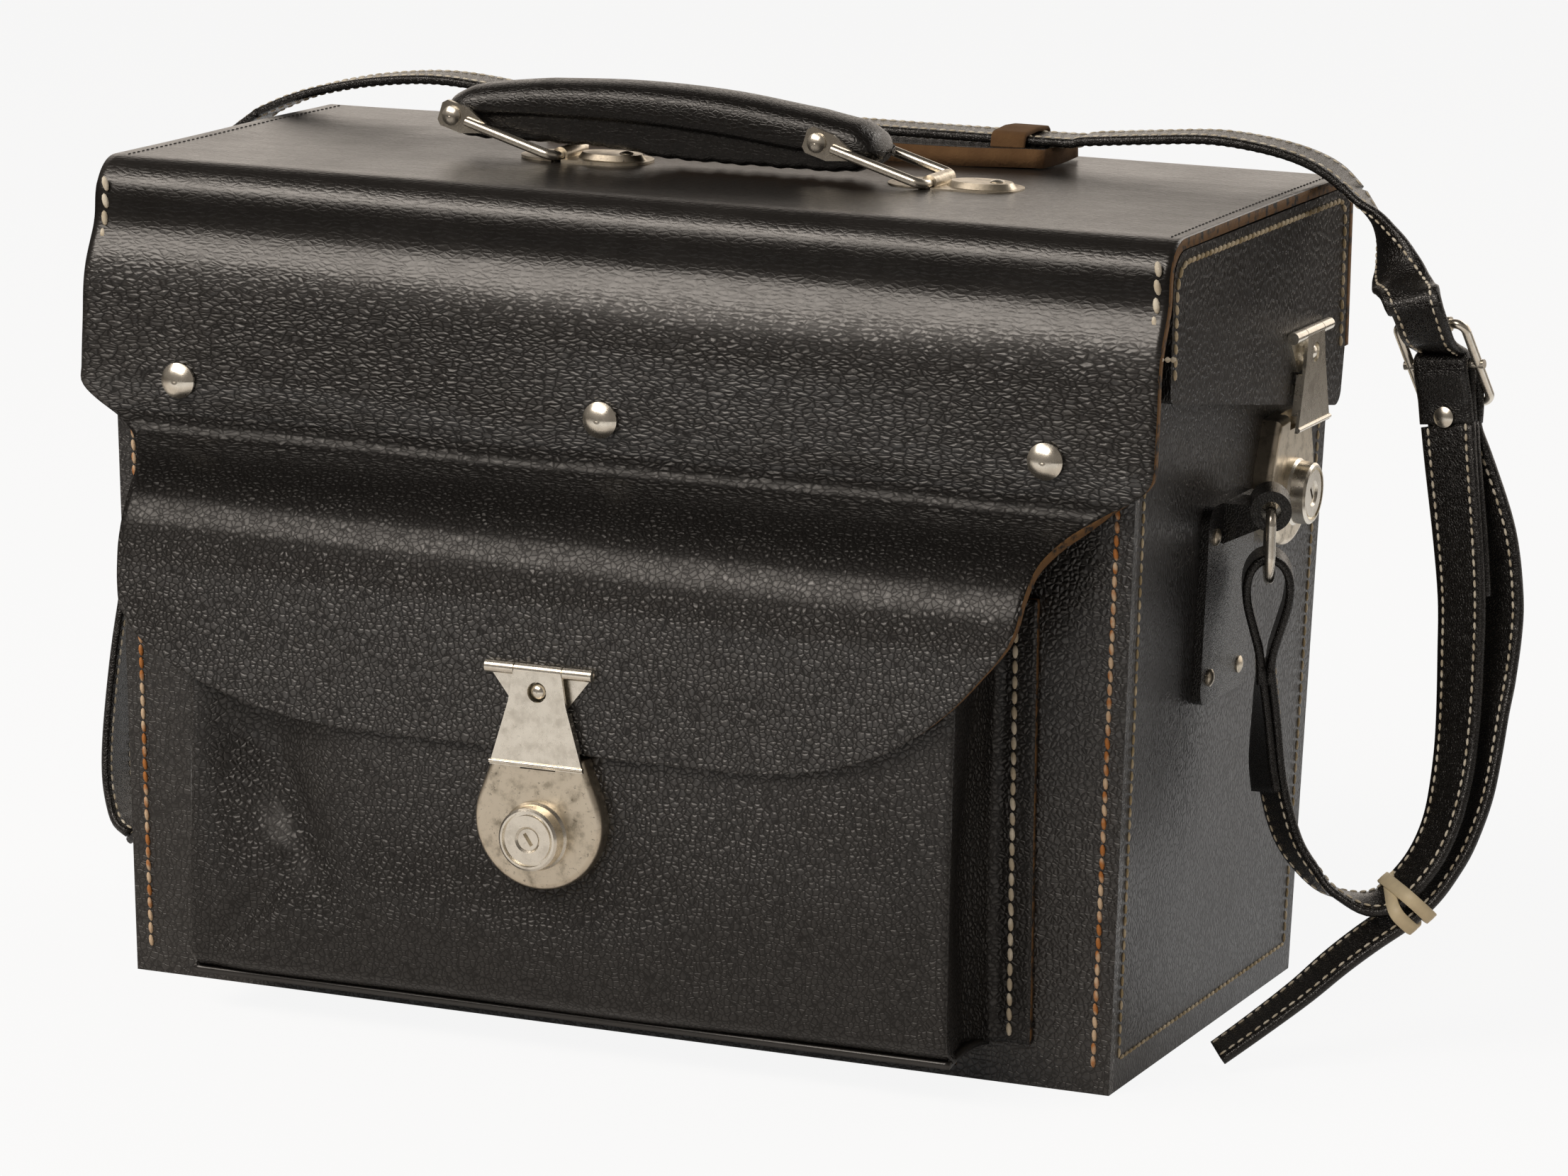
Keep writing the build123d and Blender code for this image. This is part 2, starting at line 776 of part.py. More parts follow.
def ribbon(stations, shift=0):
    """A flat strap through stations of X, Y, Z and the turn of its near edge towards +X.

    The shift moves it along its own normal, for a second layer on the first."""
    centres = [Vector(*s[:3]) for s in stations]
    sections = []
    for i, centre in enumerate(centres):
        ahead = centres[min(i + 1, len(centres) - 1)]
        behind = centres[max(i - 1, 0)]
        tangent = (ahead - behind).normalized()
        turn = radians(stations[i][3])
        side = Vector(-sin(turn), cos(turn), 0)
        side = (side - tangent * side.dot(tangent)).normalized()
        plane = Plane(origin=centre + side.cross(tangent) * shift, x_dir=side, z_dir=tangent)
        sections.append(plane * Rectangle(strap_width, strap_thick))
    lengths = [loft(pair, ruled=True) for pair in zip(sections, sections[1:])]
    return lengths[0] + lengths[1:]


def buckle_plane():
    """The buckle's own plane: X along its bars, Y up its frame, Z to the wearer's side."""
    bar = Vector(0.985, -0.121, 0.12).normalized()
    up = Vector(-0.12, 0.02, 0.99)
    up = (up - bar * up.dot(bar)).normalized()
    near = bar.cross(up)
    lean = radians(buckle_tilt)
    frame_up = up * cos(lean) + near * sin(lean)
    return Plane(origin=buckle_at, x_dir=bar, z_dir=bar.cross(frame_up))


def edge_on(outline, half):
    """A solid drawn in the buckle's Y and Z, running along its bars."""
    start = Plane(origin=(0, 0, 0), x_dir=(0, 1, 0), z_dir=(1, 0, 0))
    return buckle_plane().location * extrude(start * outline, amount=half, both=True)


def fold_radius():
    return buckle_wire + soft_gap + strap_thick


def threaded_run():
    """The long strap's way through the buckle, over the top bar and behind the middle one."""
    over_bar = sleeve_radius + soft_gap + strap_thick / 2
    behind = fold_radius() + soft_gap + strap_thick / 2
    points = [(buckle_up + 8, over_bar), (buckle_up - 1.5, over_bar), (-0.1, -behind - 1.9)]
    points += [(-14.8, 2.9), (-21, 8)]
    path = FilletPolyline(*points, radius=[over_bar, behind, 20])
    edge = offset(path, amount=strap_thick / 2, side=Side.BOTH, kind=Kind.ARC)
    return edge_on(make_face(edge.edges()), strap_width / 2)


def long_strap():
    """The long strap: ring at the left, over the lid and the pad, down to the buckle and tail."""
    over = lid_top + soft_gap + pad_thick + soft_gap + strap_thick / 2
    rise = [
        (-204.7, tab_y, 132, -20), (-206, -7, 112, -12), (-209, -6.5, 84, -4), (-214, -5, 56, 0),
        (-222, -2, 34, 0), (-232, 2, 24, 0), (-242, 6, 29, 0), (-248.5, 11, 48, 0),
        (-249.5, 19, 85, 0), (-248, 29, 125, 0), (-246.5, 38, 165, 0), (-246, 46, 205, 0),
        (-243.5, 53, 236, 0), (-237, 58, 259, 0), (-226, 60, 276, 0), (-213, 61, 287, 0),
        (-200, 61, 293, 0), (-186, 61, 297.5, 0), (-165, 60, 302, 0), (-140, 59, 304.5, 0),
        (-116, 58, 303, 0), (-98, 58, over + 1, 0), (-82, 58, over, 0), (94, 57, over, 0),
        (110, 57, over + 1, 0), (136, 57, 302, 0), (158, 58, 303.5, 0), (176, 58.5, 302, 0),
        (189.5, 60, 299, 0), (200, 61, 294.5, 0), (208, 60.5, 288.2, 6), (217.3, 56, 279.6, 20),
        (225.3, 46, 269.7, 38), (233, 34.5, 262, 56), (240, 25, 257.5, 70), (245, 19.5, 255, 80),
        (247.4, 17.6, 252.8, 83),
    ]
    tail = [
        (254.1, 39, 216, 83), (254.8, 38.9, 211, 82), (259.5, 38.3, 201, 78), (270.5, 34, 178, 70),
        (275.2, 30.5, 157.5, 67), (276.5, 26.5, 144, 65), (276.6, 21.5, 130, 63), (276.6, 16.7, 121, 61),
        (276.6, 11.3, 107, 58), (276.2, 5, 92, 53), (273, -1.6, 77, 50), (269.7, -5.3, 69, 48),
        (265.4, -9.1, 61, 46), (258.3, -12.9, 53, 45), (247.8, -17.5, 44.5, 44), (238.3, -23, 36, 42),
        (229, -30, 26.5, 38), (215.5, -38, 14.5, 34), (204.5, -44, 5.2, 32),
    ]
    strap = ribbon(rise) + threaded_run() + ribbon(tail)
    prong_hole = block((-1.9, -5.5, -16), (1.9, 12, 3))
    return strap - buckle_plane().location * prong_hole


def cut_strap():
    """The long strap in three: what lies on the lid, and what hangs free at each side."""
    whole = long_strap()
    over_lid = block((-split_x, -beyond, rim_height), (split_x, beyond, beyond))
    top = whole & over_lid
    rest = whole - over_lid
    left = rest & block((-beyond, -beyond, -beyond), (0, beyond, beyond))
    right = rest & block((0, -beyond, -beyond), (beyond, beyond, beyond))
    return left + mirrored(ring_eye()), top, right


def buckle_strap():
    """The short strap: ring at the right, down, round and up, folded back at the buckle."""
    drop = [
        (204.6, tab_y, 134, 20), (205.5, tab_y, 116, 32), (206.6, -8, 99, 42), (208.3, -8.5, 89.8, 45),
    ]
    rest = [
        (212.7, -9.5, 76.6, 46), (218.5, -10.5, 67.5, 46), (228.7, -12, 58.7, 46),
        (238.4, -12.5, 55.3, 46), (247.5, -12.8, 55, 46), (255, -12.5, 58.2, 47),
        (261, -11, 64.5, 48), (266, -7.5, 73, 49), (269.3, -3, 84, 51), (270.3, 2, 96, 55),
        (270, 7, 107, 58), (269.3, 11, 121, 62), (267.8, 15.5, 139.5, 65),
    ]
    doubled = [
        (266, 20, 157, 67), (262.2, 25, 177, 71), (256.7, 31, 202, 78), (254.2, 34, 214, 83),
    ]
    fold = Circle(fold_radius())
    far = Vector(-cos(radians(buckle_tilt)), sin(radians(buckle_tilt)))
    out = Vector(far.Y, -far.X)
    ends = [far * 20 + out * k for k in (strap_thick, -strap_thick)]
    chape = make_hull(fold.edges() + Polyline(*ends).edges()) - Circle(buckle_wire + soft_gap)
    solid = edge_on(chape, strap_width / 2)
    slot = buckle_plane().location * Box(4.6, 2 * fold_radius() + 2, 14)
    solid -= slot
    half = strap_thick / 2
    solid += ribbon(drop + rest + doubled, -half) + ribbon(doubled, half)
    solid += ring_eye() + ribbon(drop, half)
    hole = buckle_rivet_place() * Cylinder(rivet_shank + fit_clear, 30)
    return solid - hole


def buckle_rivet_place():
    lean = radians(buckle_tilt)
    along = Plane(origin=(0, 0, 0), x_dir=(1, 0, 0), z_dir=(0, sin(lean), cos(lean))).location
    return buckle_plane().location * along * Pos(0, -17.5, 0)


def buckle_rivet():
    """A tubular rivet with a dished head on the wearer's side."""
    return buckle_rivet_place() * (Pos(0, 0, strap_thick + 0.6) * rivet(3.6, 1.6, rivet_shank, 6.4))


def buckle():
    """The buckle's wire frame, with the middle bar that the strap is folded round."""
    half_w = buckle_half_width
    points = [(0, -buckle_down), (half_w, -buckle_down), (half_w, buckle_up), (0, buckle_up)]
    path = FilletPolyline(*points, radius=3.5)
    section = Plane(origin=(0, -buckle_down, 0), x_dir=(0, 1, 0), z_dir=(1, 0, 0)) * Circle(buckle_wire)
    half = sweep(section, path=path)
    frame = half + mirror(half, about=Plane.YZ)
    bar = Rot(0, 90, 0) * Cylinder(buckle_wire, 2 * half_w + 4.5)
    sleeve = Rot(0, 90, 0) * Cylinder(sleeve_radius, 2 * half_w - 9)
    frame += bar + Pos(0, buckle_up, 0) * sleeve
    return buckle_plane().location * frame


def prong():
    """The tongue: an eye round the middle bar and a finger that rests on the top bar."""
    bore = buckle_wire + fit_clear
    eye = Rot(0, 90, 0) * Cylinder(bore + 1.2, 3.6)
    rest = -sleeve_radius - 0.1
    points = [(0, -bore), (0, -bore - 1.2), (5, rest - 7), (9, rest - 7.4), (19, rest - 1.9)]
    finger = Polygon(*points, (21, rest), (17, rest))
    blade = edge_on(finger, 1.3)
    part = buckle_plane().location * eye + blade
    return part - buckle_plane().location * (Rot(0, 90, 0) * Cylinder(bore, 10))


def rubber_band():
    """The elastic loop that holds the tail against the short strap."""
    middle = Vector(258.6, -11.9, 57.75)
    along = Vector(0.66, 0.24, 0.71).normalized()
    turn = radians(46)
    side = Vector(-sin(turn), cos(turn), 0)
    side = (side - along * side.dot(along)).normalized()
    plane = Plane(origin=middle, x_dir=side, z_dir=along)
    ring = RectangleRounded(28.4, 17.4, 4) - RectangleRounded(26, 15, 2.8)
    return plane.location * extrude(ring, amount=3, both=True)


def shoulder_pad():
    base = lid_top + soft_gap
    outline = RectangleRounded(pad_length, pad_width, 17)
    pad = extrude(outline, amount=pad_thick)
    rim = pad.faces().sort_by(Axis.Z)[-1].edges()
    pad = fillet(rim, 2.5)
    return Pos(6, pad_y, base) * pad


def save(name, shape):
    solids = shape if isinstance(shape, list) else [shape]
    found = []
    for solid in solids:
        found += solid.solids()
    export_step(Compound(children=found, label=name), f"parts/{name}.step")


def main():
    os.makedirs("parts", exist_ok=True)
    right_panel = side_panel()
    save("front_panel", front_panel())
    save("back_panel", back_panel())
    save("right_side_panel", right_panel)
    save("left_side_panel", mirrored(right_panel))
    save("bottom_panel", bottom_panel())
    save("case_lining", lining_tray())
    save("pocket_gusset", pocket_gusset())
    save("pocket_front", pocket_panel())
    right_skirt = lid_skirt()
    save("lid_cover", lid_cover())
    save("right_lid_skirt", right_skirt)
    save("left_lid_skirt", mirrored(right_skirt))
    save("lid_lining", lid_inner_lining())
    save("lid_studs", lid_studs())
    save("front_flap", front_flap())

    for name, shape in (("case", lock_case()), ("barrel", lock_barrel()), ("plug", lock_plug())):
        right_lock = side_lock_frame() * shape
        save(f"front_lock_{name}", front_lock_frame() * shape)
        save(f"right_lock_{name}", right_lock)
        save(f"left_lock_{name}", mirrored(right_lock))

    for name, shape in (("hasp_plate", hasp_plate()), ("hasp_pin", hasp_pin())):
        right_hasp = side_hasp_frame() * shape
        save(f"front_{name}", front_hasp_frame() * shape)
        save(f"right_{name}", right_hasp)
        save(f"left_{name}", mirrored(right_hasp))
    right_leaf = side_hasp_frame() * hasp(lug_reach_side)
    right_rivet = side_hasp_frame() * hasp_rivet_part()
    save("front_hasp", front_hasp_frame() * hasp(lug_reach_front))
    save("right_hasp", right_leaf)
    save("left_hasp", mirrored(right_leaf))
    save("front_hasp_rivet", front_hasp_frame() * hasp_rivet_part())
    save("side_hasp_rivets", [right_rivet, mirrored(right_rivet)])

    left_bar, right_bar = bars()
    save("left_handle_plate", handle_plate(left_bar))
    save("right_handle_plate", handle_plate(right_bar))
    save("handle_plate_rivets", handle_plate_rivets())
    save("left_bail", bail(left_bar))
    save("right_bail", bail(right_bar))
    save("handle_grip", handle_grip())
    save("grip_rivets", grip_rivets())

    right_tab = strap_tab()
    right_ring = strap_ring()
    save("right_strap_tab", right_tab)
    save("left_strap_tab", mirrored(right_tab))
    save("right_strap_ring", right_ring)
    save("left_strap_ring", mirrored(right_ring))
    save("tab_rivets", tab_rivets() + [mirrored(r) for r in tab_rivets()])

    left_strap, top_strap, right_strap = cut_strap()
    save("strap_left_run", left_strap)
    save("strap_over_lid", top_strap)
    save("strap_right_run", right_strap)
    save("buckle_strap", buckle_strap())
    save("buckle_frame", buckle())
    save("buckle_prong", prong())
    save("buckle_rivet", buckle_rivet())
    save("rubber_band", rubber_band())
    save("shoulder_pad", shoulder_pad())


main()
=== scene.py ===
# %% [markdown]
# # A leather camera case
# The case stands on a white sweep in soft daylight. Its rigid parts and its metal come from the
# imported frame. The leather that sags, folds and creases is made here as sheets with their real
# thickness, cut and bent the way a saddler would. All measures are millimetres, made metres at
# the last moment.

import math
import random

import bmesh
import bpy
import numpy as np
from mathutils import Matrix, Vector


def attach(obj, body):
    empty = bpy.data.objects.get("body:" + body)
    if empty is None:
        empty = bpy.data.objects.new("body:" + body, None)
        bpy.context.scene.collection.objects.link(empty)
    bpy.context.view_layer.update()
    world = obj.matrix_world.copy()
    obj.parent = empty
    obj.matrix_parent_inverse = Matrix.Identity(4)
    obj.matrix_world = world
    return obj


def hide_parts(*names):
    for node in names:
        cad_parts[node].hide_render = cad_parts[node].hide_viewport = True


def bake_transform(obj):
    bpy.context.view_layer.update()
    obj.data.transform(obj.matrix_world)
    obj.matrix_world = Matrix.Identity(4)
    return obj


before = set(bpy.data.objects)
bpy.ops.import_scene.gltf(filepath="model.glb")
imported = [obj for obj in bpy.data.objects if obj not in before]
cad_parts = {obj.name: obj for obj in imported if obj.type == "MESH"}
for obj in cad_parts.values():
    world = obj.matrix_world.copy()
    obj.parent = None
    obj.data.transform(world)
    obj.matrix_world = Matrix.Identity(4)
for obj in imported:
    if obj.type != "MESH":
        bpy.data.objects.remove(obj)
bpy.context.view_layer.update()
MM = 0.001
STITCH_SINK = 0.25  # how deep a stitch lies in the leather
print("frame loaded:", len(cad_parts), "nodes")

# %% [markdown]
# ## Lines and sheets
# A saddler cuts a flat piece and bends it, so nearly every soft piece here is either a sheet
# given by a formula or a band that follows a line. These few helpers make both. Lines are
# rounded at their corners and then spaced evenly, so that creases and stitches keep their size.


# %%
def spaced(points, step):
    """Points along a line at an even spacing."""
    points = np.array(points, float)
    travel = np.concatenate([[0], np.cumsum(np.linalg.norm(np.diff(points, axis=0), axis=1))])
    count = max(2, int(round(travel[-1] / step)) + 1)
    wanted = np.linspace(0, travel[-1], count)
    return np.stack([np.interp(wanted, travel, column) for column in points.T], axis=1)


def rounded(points, radii, step):
    """An evenly spaced line through corners that are rounded to the given radii."""
    points = [np.array(p, float) for p in points]
    line = [points[0]]
    for before, corner, after, radius in zip(points, points[1:], points[2:], radii):
        back = (before - corner) / np.linalg.norm(before - corner)
        ahead = (after - corner) / np.linalg.norm(after - corner)
        half = math.acos(np.clip(back @ ahead, -1, 1)) / 2
        sweep = math.pi - 2 * half
        start = corner + back * radius / math.tan(half)
        middle = (back + ahead) / np.linalg.norm(back + ahead)
        centre = corner + middle * radius / math.sin(half)
        end = corner + ahead * radius / math.tan(half)
        for share in np.linspace(0, 1, 10):
            near = math.sin((1 - share) * sweep) / math.sin(sweep)
            far = math.sin(share * sweep) / math.sin(sweep)
            line.append(centre + (start - centre) * near + (end - centre) * far)
    line.append(points[-1])
    return spaced(line, step)


def spline(a, b, c, d, t):
    """A place between b and c on a spline that also heeds their neighbours a and d."""
    bend = 2 * a - 5 * b + 4 * c - d
    twist = 3 * b - a - 3 * c + d
    return 0.5 * (2 * b + (c - a) * t + bend * t**2 + twist * t**3)


def curve(points, step):
    """A soft line through points, by a spline that passes through every one of them."""
    points = np.array(points, float)
    padded = np.vstack([2 * points[0] - points[1], points, 2 * points[-1] - points[-2]])
    line = []
    for a, b, c, d in zip(padded, padded[1:], padded[2:], padded[3:]):
        for t in np.linspace(0, 1, 12, endpoint=False):
            line.append(spline(a, b, c, d, t))
    line.append(points[-1])
    line = spaced(line, step)
    for _ in range(2):
        line[1:-1] = (line[:-2] + 2 * line[1:-1] + line[2:]) / 4
    return line


def between(table, at):
    """A value read from a table of (place, value) pairs, eased between its entries."""
    places = np.array([row[0] for row in table], float)
    values = np.array([row[1] for row in table], float)
    if places[0] > places[-1]:
        places, values = places[::-1], values[::-1]
    i = int(np.clip(np.searchsorted(places, at) - 1, 0, len(places) - 2))
    t = float(np.clip((at - places[i]) / (places[i + 1] - places[i]), 0, 1))
    before = values[max(i - 1, 0)]
    after = values[min(i + 2, len(values) - 1)]
    return spline(before, values[i], values[i + 1], after, t)


def hump(at, middle, width):
    """A soft bump of height one around a middle."""
    return math.exp(-(((at - middle) / width) ** 2))


def ease(at, low, high):
    """Zero below low, one above high, smooth between them."""
    t = min(max((at - low) / (high - low), 0), 1)
    return t * t * (3 - 2 * t)


def finished(name, form, materials, body=None):
    """A mesh object from a bmesh, with its materials, riding on its body of the frame."""
    mesh = bpy.data.meshes.new(name)
    form.to_mesh(mesh)
    form.free()
    piece = bpy.data.objects.new(name, mesh)
    bpy.context.scene.collection.objects.link(piece)
    for material in materials:
        mesh.materials.append(material)
    for face in mesh.polygons:
        face.use_smooth = True
    if body:
        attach(piece, body)
    return piece


def mask(piece, name, values):
    """A number at each point of a piece, which its material reads by name."""
    layer = piece.data.attributes.new(name, "FLOAT", "POINT")
    layer.data.foreach_set("value", np.array(values, np.float32))


def sheet(name, rows, columns, place, materials, thickness, body=None, masks=None, turned=False):
    """A leather sheet: a grid moved to place(u, v), thickened behind its face, raw at its cut edge.

    A turned sheet has its face on the grid's other side.
    """
    form = bmesh.new()
    bmesh.ops.create_grid(form, x_segments=columns, y_segments=rows, size=0.5)
    spots = [(v.co.x + 0.5, v.co.y + 0.5) for v in form.verts]
    for vert, (u, v) in zip(form.verts, spots):
        vert.co = Vector(place(u, v)) * MM
    if turned:
        bmesh.ops.reverse_faces(form, faces=form.faces)
    piece = finished(name, form, materials)
    for layer, rule in (masks or {}).items():
        mask(piece, layer, [rule(u, v) for u, v in spots])
    solid = piece.modifiers.new("thickness", "SOLIDIFY")
    solid.thickness = thickness * MM
    solid.offset = -1
    solid.use_even_offset = False
    if len(materials) > 1:
        solid.material_offset_rim = 1
    if body:
        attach(piece, body)
    return piece


def band(name, line, sides, outline, materials, body=None, ends=True):
    """A closed band: an outline, drawn along side and normal, carried along a line."""
    line = np.array(line, float)
    sides = np.array(sides, float)
    tangents = np.gradient(line, axis=0)
    tangents /= np.linalg.norm(tangents, axis=1, keepdims=True)
    sides = sides - tangents * np.sum(sides * tangents, axis=1, keepdims=True)
    sides /= np.linalg.norm(sides, axis=1, keepdims=True)
    normals = np.cross(sides, tangents)
    count = len(line)
    around = len(outline(0.0))
    form = bmesh.new()
    rings = []
    for i in range(count):
        ring = []
        for a, b in outline(i / (count - 1)):
            ring.append(form.verts.new(Vector(line[i] + sides[i] * a + normals[i] * b) * MM))
        edges = [form.edges.new((ring[k], ring[(k + 1) % around])) for k in range(around)]
        rings.append(edges)
    for first, second in zip(rings, rings[1:]):
        bmesh.ops.bridge_loops(form, edges=first + second)
    if ends:
        bmesh.ops.holes_fill(form, edges=rings[0] + rings[-1], sides=0)
    bmesh.ops.recalc_face_normals(form, faces=form.faces)
    return finished(name, form, materials, body)


def flat_outline(width, thick, soft=0.8):
    """A strap's cross-section: flat faces and softened edges, slightly fuller in the middle."""
    w = width / 2
    t = thick / 2
    right = [(w - 2.6, t), (w - soft, t * 0.96), (w - soft * 0.3, t * 0.6), (w, 0)]
    right += [(w - soft * 0.3, -t * 0.6), (w - soft, -t * 0.96), (w - 2.6, -t)]
    left = [(-a, -b) for a, b in right]
    return [*right, (0, -t), *left, (0, t)]


def stitches(name, line, outwards, material, body, thick, pitch=3.6, length=2.7, slant=6):
    """A row of thread: each stitch a small bead of thread, lying a little aslant."""
    random.seed(name)
    form = bmesh.new()
    line = spaced(line, pitch)
    outwards = np.array(outwards, float)
    if outwards.ndim == 1:
        outwards = np.repeat(outwards[None], len(line), axis=0)
    else:
        share = np.linspace(0, len(outwards) - 1, len(line))
        columns = [np.interp(share, range(len(outwards)), column) for column in outwards.T]
        outwards = np.stack(columns, axis=1)
    for start, end, out in zip(line, line[1:], outwards):
        along = Vector(end - start).normalized()
        up = Vector(out).normalized()
        up = (up - along * up.dot(along)).normalized()
        across = up.cross(along)
        turn = Matrix.Rotation(math.radians(slant + random.uniform(-4, 4)), 4, "Z")
        axes = Matrix((along, across, up)).transposed().to_4x4()
        middle = Vector((start + end) / 2) * MM
        place = Matrix.Translation(middle + up * (thick * 0.5 - STITCH_SINK) * MM)
        size = Matrix.Diagonal((length / 2 * MM, thick * MM, thick * 0.8 * MM, 1))
        bead = place @ axes @ turn @ size @ Matrix.Rotation(math.pi / 2, 4, "Y")
        bmesh.ops.create_uvsphere(form, u_segments=6, v_segments=5, radius=1, matrix=bead)
    return finished(name, form, [material], body)


print("helpers ready")

# %% [markdown]
# ## Shader arithmetic
# Grain, creases and wear are sums of a few patterns. The class below lets those sums be written
# as plain arithmetic.


# %%
class Value:
    """An output in a material's node tree that takes part in ordinary arithmetic."""

    def __init__(self, graph, socket):
        self.graph = graph
        self.socket = socket

    def _with(self, operation, other, flip=False):
        pair = (other, self) if flip else (self, other)
        return self.graph.maths(operation, *pair)

    def __add__(self, other):
        return self._with("ADD", other)

    def __radd__(self, other):
        return self._with("ADD", other, True)

    def __sub__(self, other):
        return self._with("SUBTRACT", other)

    def __rsub__(self, other):
        return self._with("SUBTRACT", other, True)

    def __mul__(self, other):
        return self._with("MULTIPLY", other)

    def __rmul__(self, other):
        return self._with("MULTIPLY", other, True)

    def step(self, low, high):
        """Zero below low, one above high, smooth between them."""
        settings = {"interpolation_type": "SMOOTHSTEP"}
        return self.graph.node(
            "ShaderNodeMapRange", settings, {"Value": self, "From Min": low, "From Max": high}
        )


class Graph:
    """A material's node tree."""

    def __init__(self, name):
        self.material = bpy.data.materials.new(name)
        self.material.use_nodes = True
        self.tree = self.material.node_tree
        self.shader = self.tree.nodes["Principled BSDF"]

    def node(self, kind, settings=None, inputs=None, output=0):
        made = self.tree.nodes.new(kind)
        for key, value in (settings or {}).items():
            setattr(made, key, value)
        for key, value in (inputs or {}).items():
            self.feed(made.inputs[key], value)
        return Value(self, made.outputs[output])

    def feed(self, socket, value):
        if isinstance(value, Value):
            self.tree.links.new(value.socket, socket)
        else:
            socket.default_value = value

    def maths(self, operation, *values):
        return self.node("ShaderNodeMath", {"operation": operation}, dict(enumerate(values)))

    def place(self, scale=(1, 1, 1), warp=0.0, size=1.0):
        """Object coordinates, stretched, and wavered by a slow noise if asked."""
        spot = self.node("ShaderNodeTexCoord", output="Object")
        if warp:
            inputs = {"Vector": spot, "Scale": size, "Detail": 2.0}
            drift = self.node("ShaderNodeTexNoise", inputs=inputs, output="Color")
            push = self.node("ShaderNodeVectorMath", {"operation": "SCALE"}, {0: drift, "Scale": warp})
            spot = self.node("ShaderNodeVectorMath", {"operation": "ADD"}, {0: spot, 1: push})
        return self.node("ShaderNodeVectorMath", {"operation": "MULTIPLY"}, {0: spot, 1: scale})

    def noise(self, spot, scale, detail=3.0, rough=0.5):
        inputs = {"Vector": spot, "Scale": scale, "Detail": detail, "Roughness": rough}
        return self.node("ShaderNodeTexNoise", inputs=inputs)

    def cells(self, spot, scale, feature="DISTANCE_TO_EDGE", output="Distance"):
        settings = {"feature": feature}
        return self.node("ShaderNodeTexVoronoi", settings, {"Vector": spot, "Scale": scale}, output)

    def attribute(self, name):
        return self.node("ShaderNodeAttribute", {"attribute_name": name}, output="Fac")

    def blend(self, factor, low, high):
        """A colour between two others."""
        made = self.tree.nodes.new("ShaderNodeMix")
        made.data_type = "RGBA"
        self.feed(made.inputs["Factor"], factor)
        self.feed(made.inputs[6], low)
        self.feed(made.inputs[7], high)
        return Value(self, made.outputs[2])

    def finish(self, **inputs):
        for key, value in inputs.items():
            self.feed(self.shader.inputs[key.replace("_", " ")], value)
        return self.material

    def surface(self, factor, low, high):
        """Two shaders mixed: only low where the factor is zero, only high where it is one."""
        mix = self.tree.nodes.new("ShaderNodeMixShader")
        self.feed(mix.inputs["Fac"], factor)
        self.tree.links.new(low, mix.inputs[1])
        self.tree.links.new(high, mix.inputs[2])
        self.tree.links.new(mix.outputs["Shader"], self.tree.nodes["Material Output"].inputs["Surface"])
        return self.material

    def over(self, factor, colour, rough):
        """Lays the finish over a matt, darker one that stands for painted shade: where the factor is
        one, only the finish shows.
        """
        dull_painted_shade = self.tree.nodes.new("ShaderNodeBsdfPrincipled")
        for key, value in (("Base Color", colour), ("Roughness", rough), ("Specular IOR Level", 0.1)):
            dull_painted_shade.inputs[key].default_value = value
        return self.surface(factor, dull_painted_shade.outputs["BSDF"], self.shader.outputs["BSDF"])

    def bump(self, height, distance, strength):
        inputs = {"Height": height, "Distance": distance, "Strength": strength}
        return self.node("ShaderNodeBump", inputs=inputs)


print("shader arithmetic ready")

# %% [markdown]
# ## Leather
# The case is cowhide dyed black. The front is coarse and pebbled, with creases that run across
# where it has been bent for years. The sides and the top are pressed flatter and shine more.
# The straps are two smooth layers, and every cut edge shows the brown of the hide.


# %%
def pebbled_leather():
    """Soft hide: rounded pebbles with furrows, drawn out across where it is bent. Its furrows and folds
    carry painted shade.
    """
    graph = Graph("pebbled_leather")
    coarse = graph.attribute("pebble")
    creased = graph.attribute("crease")
    # A mask of the folds and edges that get painted shade, with less polish.
    dull_painted_shade = graph.attribute("dull_painted_shade")
    round_spot = graph.place(scale=(0.9, 1.0, 1.0), warp=0.0016, size=240.0)
    round_cells = graph.cells(round_spot, 540.0)
    long_spot = graph.place(scale=(0.36, 1.0, 1.0), warp=0.0020, size=150.0)
    long_cells = graph.cells(long_spot, 700.0)
    pebbles = round_cells.step(0.0, 0.17)
    wrinkles = long_cells.step(0.0, 0.15)
    domes = round_cells.step(0.0, 0.5) * (1.0 - creased) + long_cells.step(0.0, 0.5) * creased
    plates = 1.0 - (1.0 - pebbles * (1.0 - creased) - wrinkles * creased) * coarse
    fine = graph.noise(graph.place(), 2300.0, 2.0)
    broad = graph.noise(graph.place(scale=(0.35, 1.0, 1.0)), 110.0, 4.0)
    height = plates * 0.3 + domes * coarse * 0.75 + fine * 0.04 + broad * (0.15 + creased * 0.4)
    worn = graph.noise(graph.place(), 30.0, 5.0, 0.6).step(0.35, 0.75)
    colour = graph.blend(worn, (0.0110, 0.0096, 0.0088, 1.0), (0.0160, 0.0142, 0.0130, 1.0))
    scuff = graph.noise(graph.place(), 420.0, 3.0).step(0.735, 0.79)
    colour = graph.blend(scuff * 0.12, colour, (0.30, 0.26, 0.21, 1.0))
    polish = graph.cells(round_spot, 540.0, "F1", "Color") * 0.6 + 0.4
    graph.finish(
        Base_Color=colour,
        Roughness=0.28 + coarse * 0.08 + worn * 0.06 + (1.0 - plates) * 0.25,
        Specular_IOR_Level=0.85,
        Coat_Weight=coarse * polish + 0.1,
        Coat_Roughness=0.24,
        Coat_IOR=1.5,
        Normal=graph.bump(height, 0.00058, 1.0),
    )
    # Where this is low the hide turns to a matt, darker finish: painted shade in the furrows and where
    # the shade mask is high, with less polish there too.
    shining = (plates * 0.68 + 0.32) * (1.0 - dull_painted_shade * 0.75)
    return graph.over(shining, (0.0035, 0.0030, 0.0027, 1.0), 0.9)


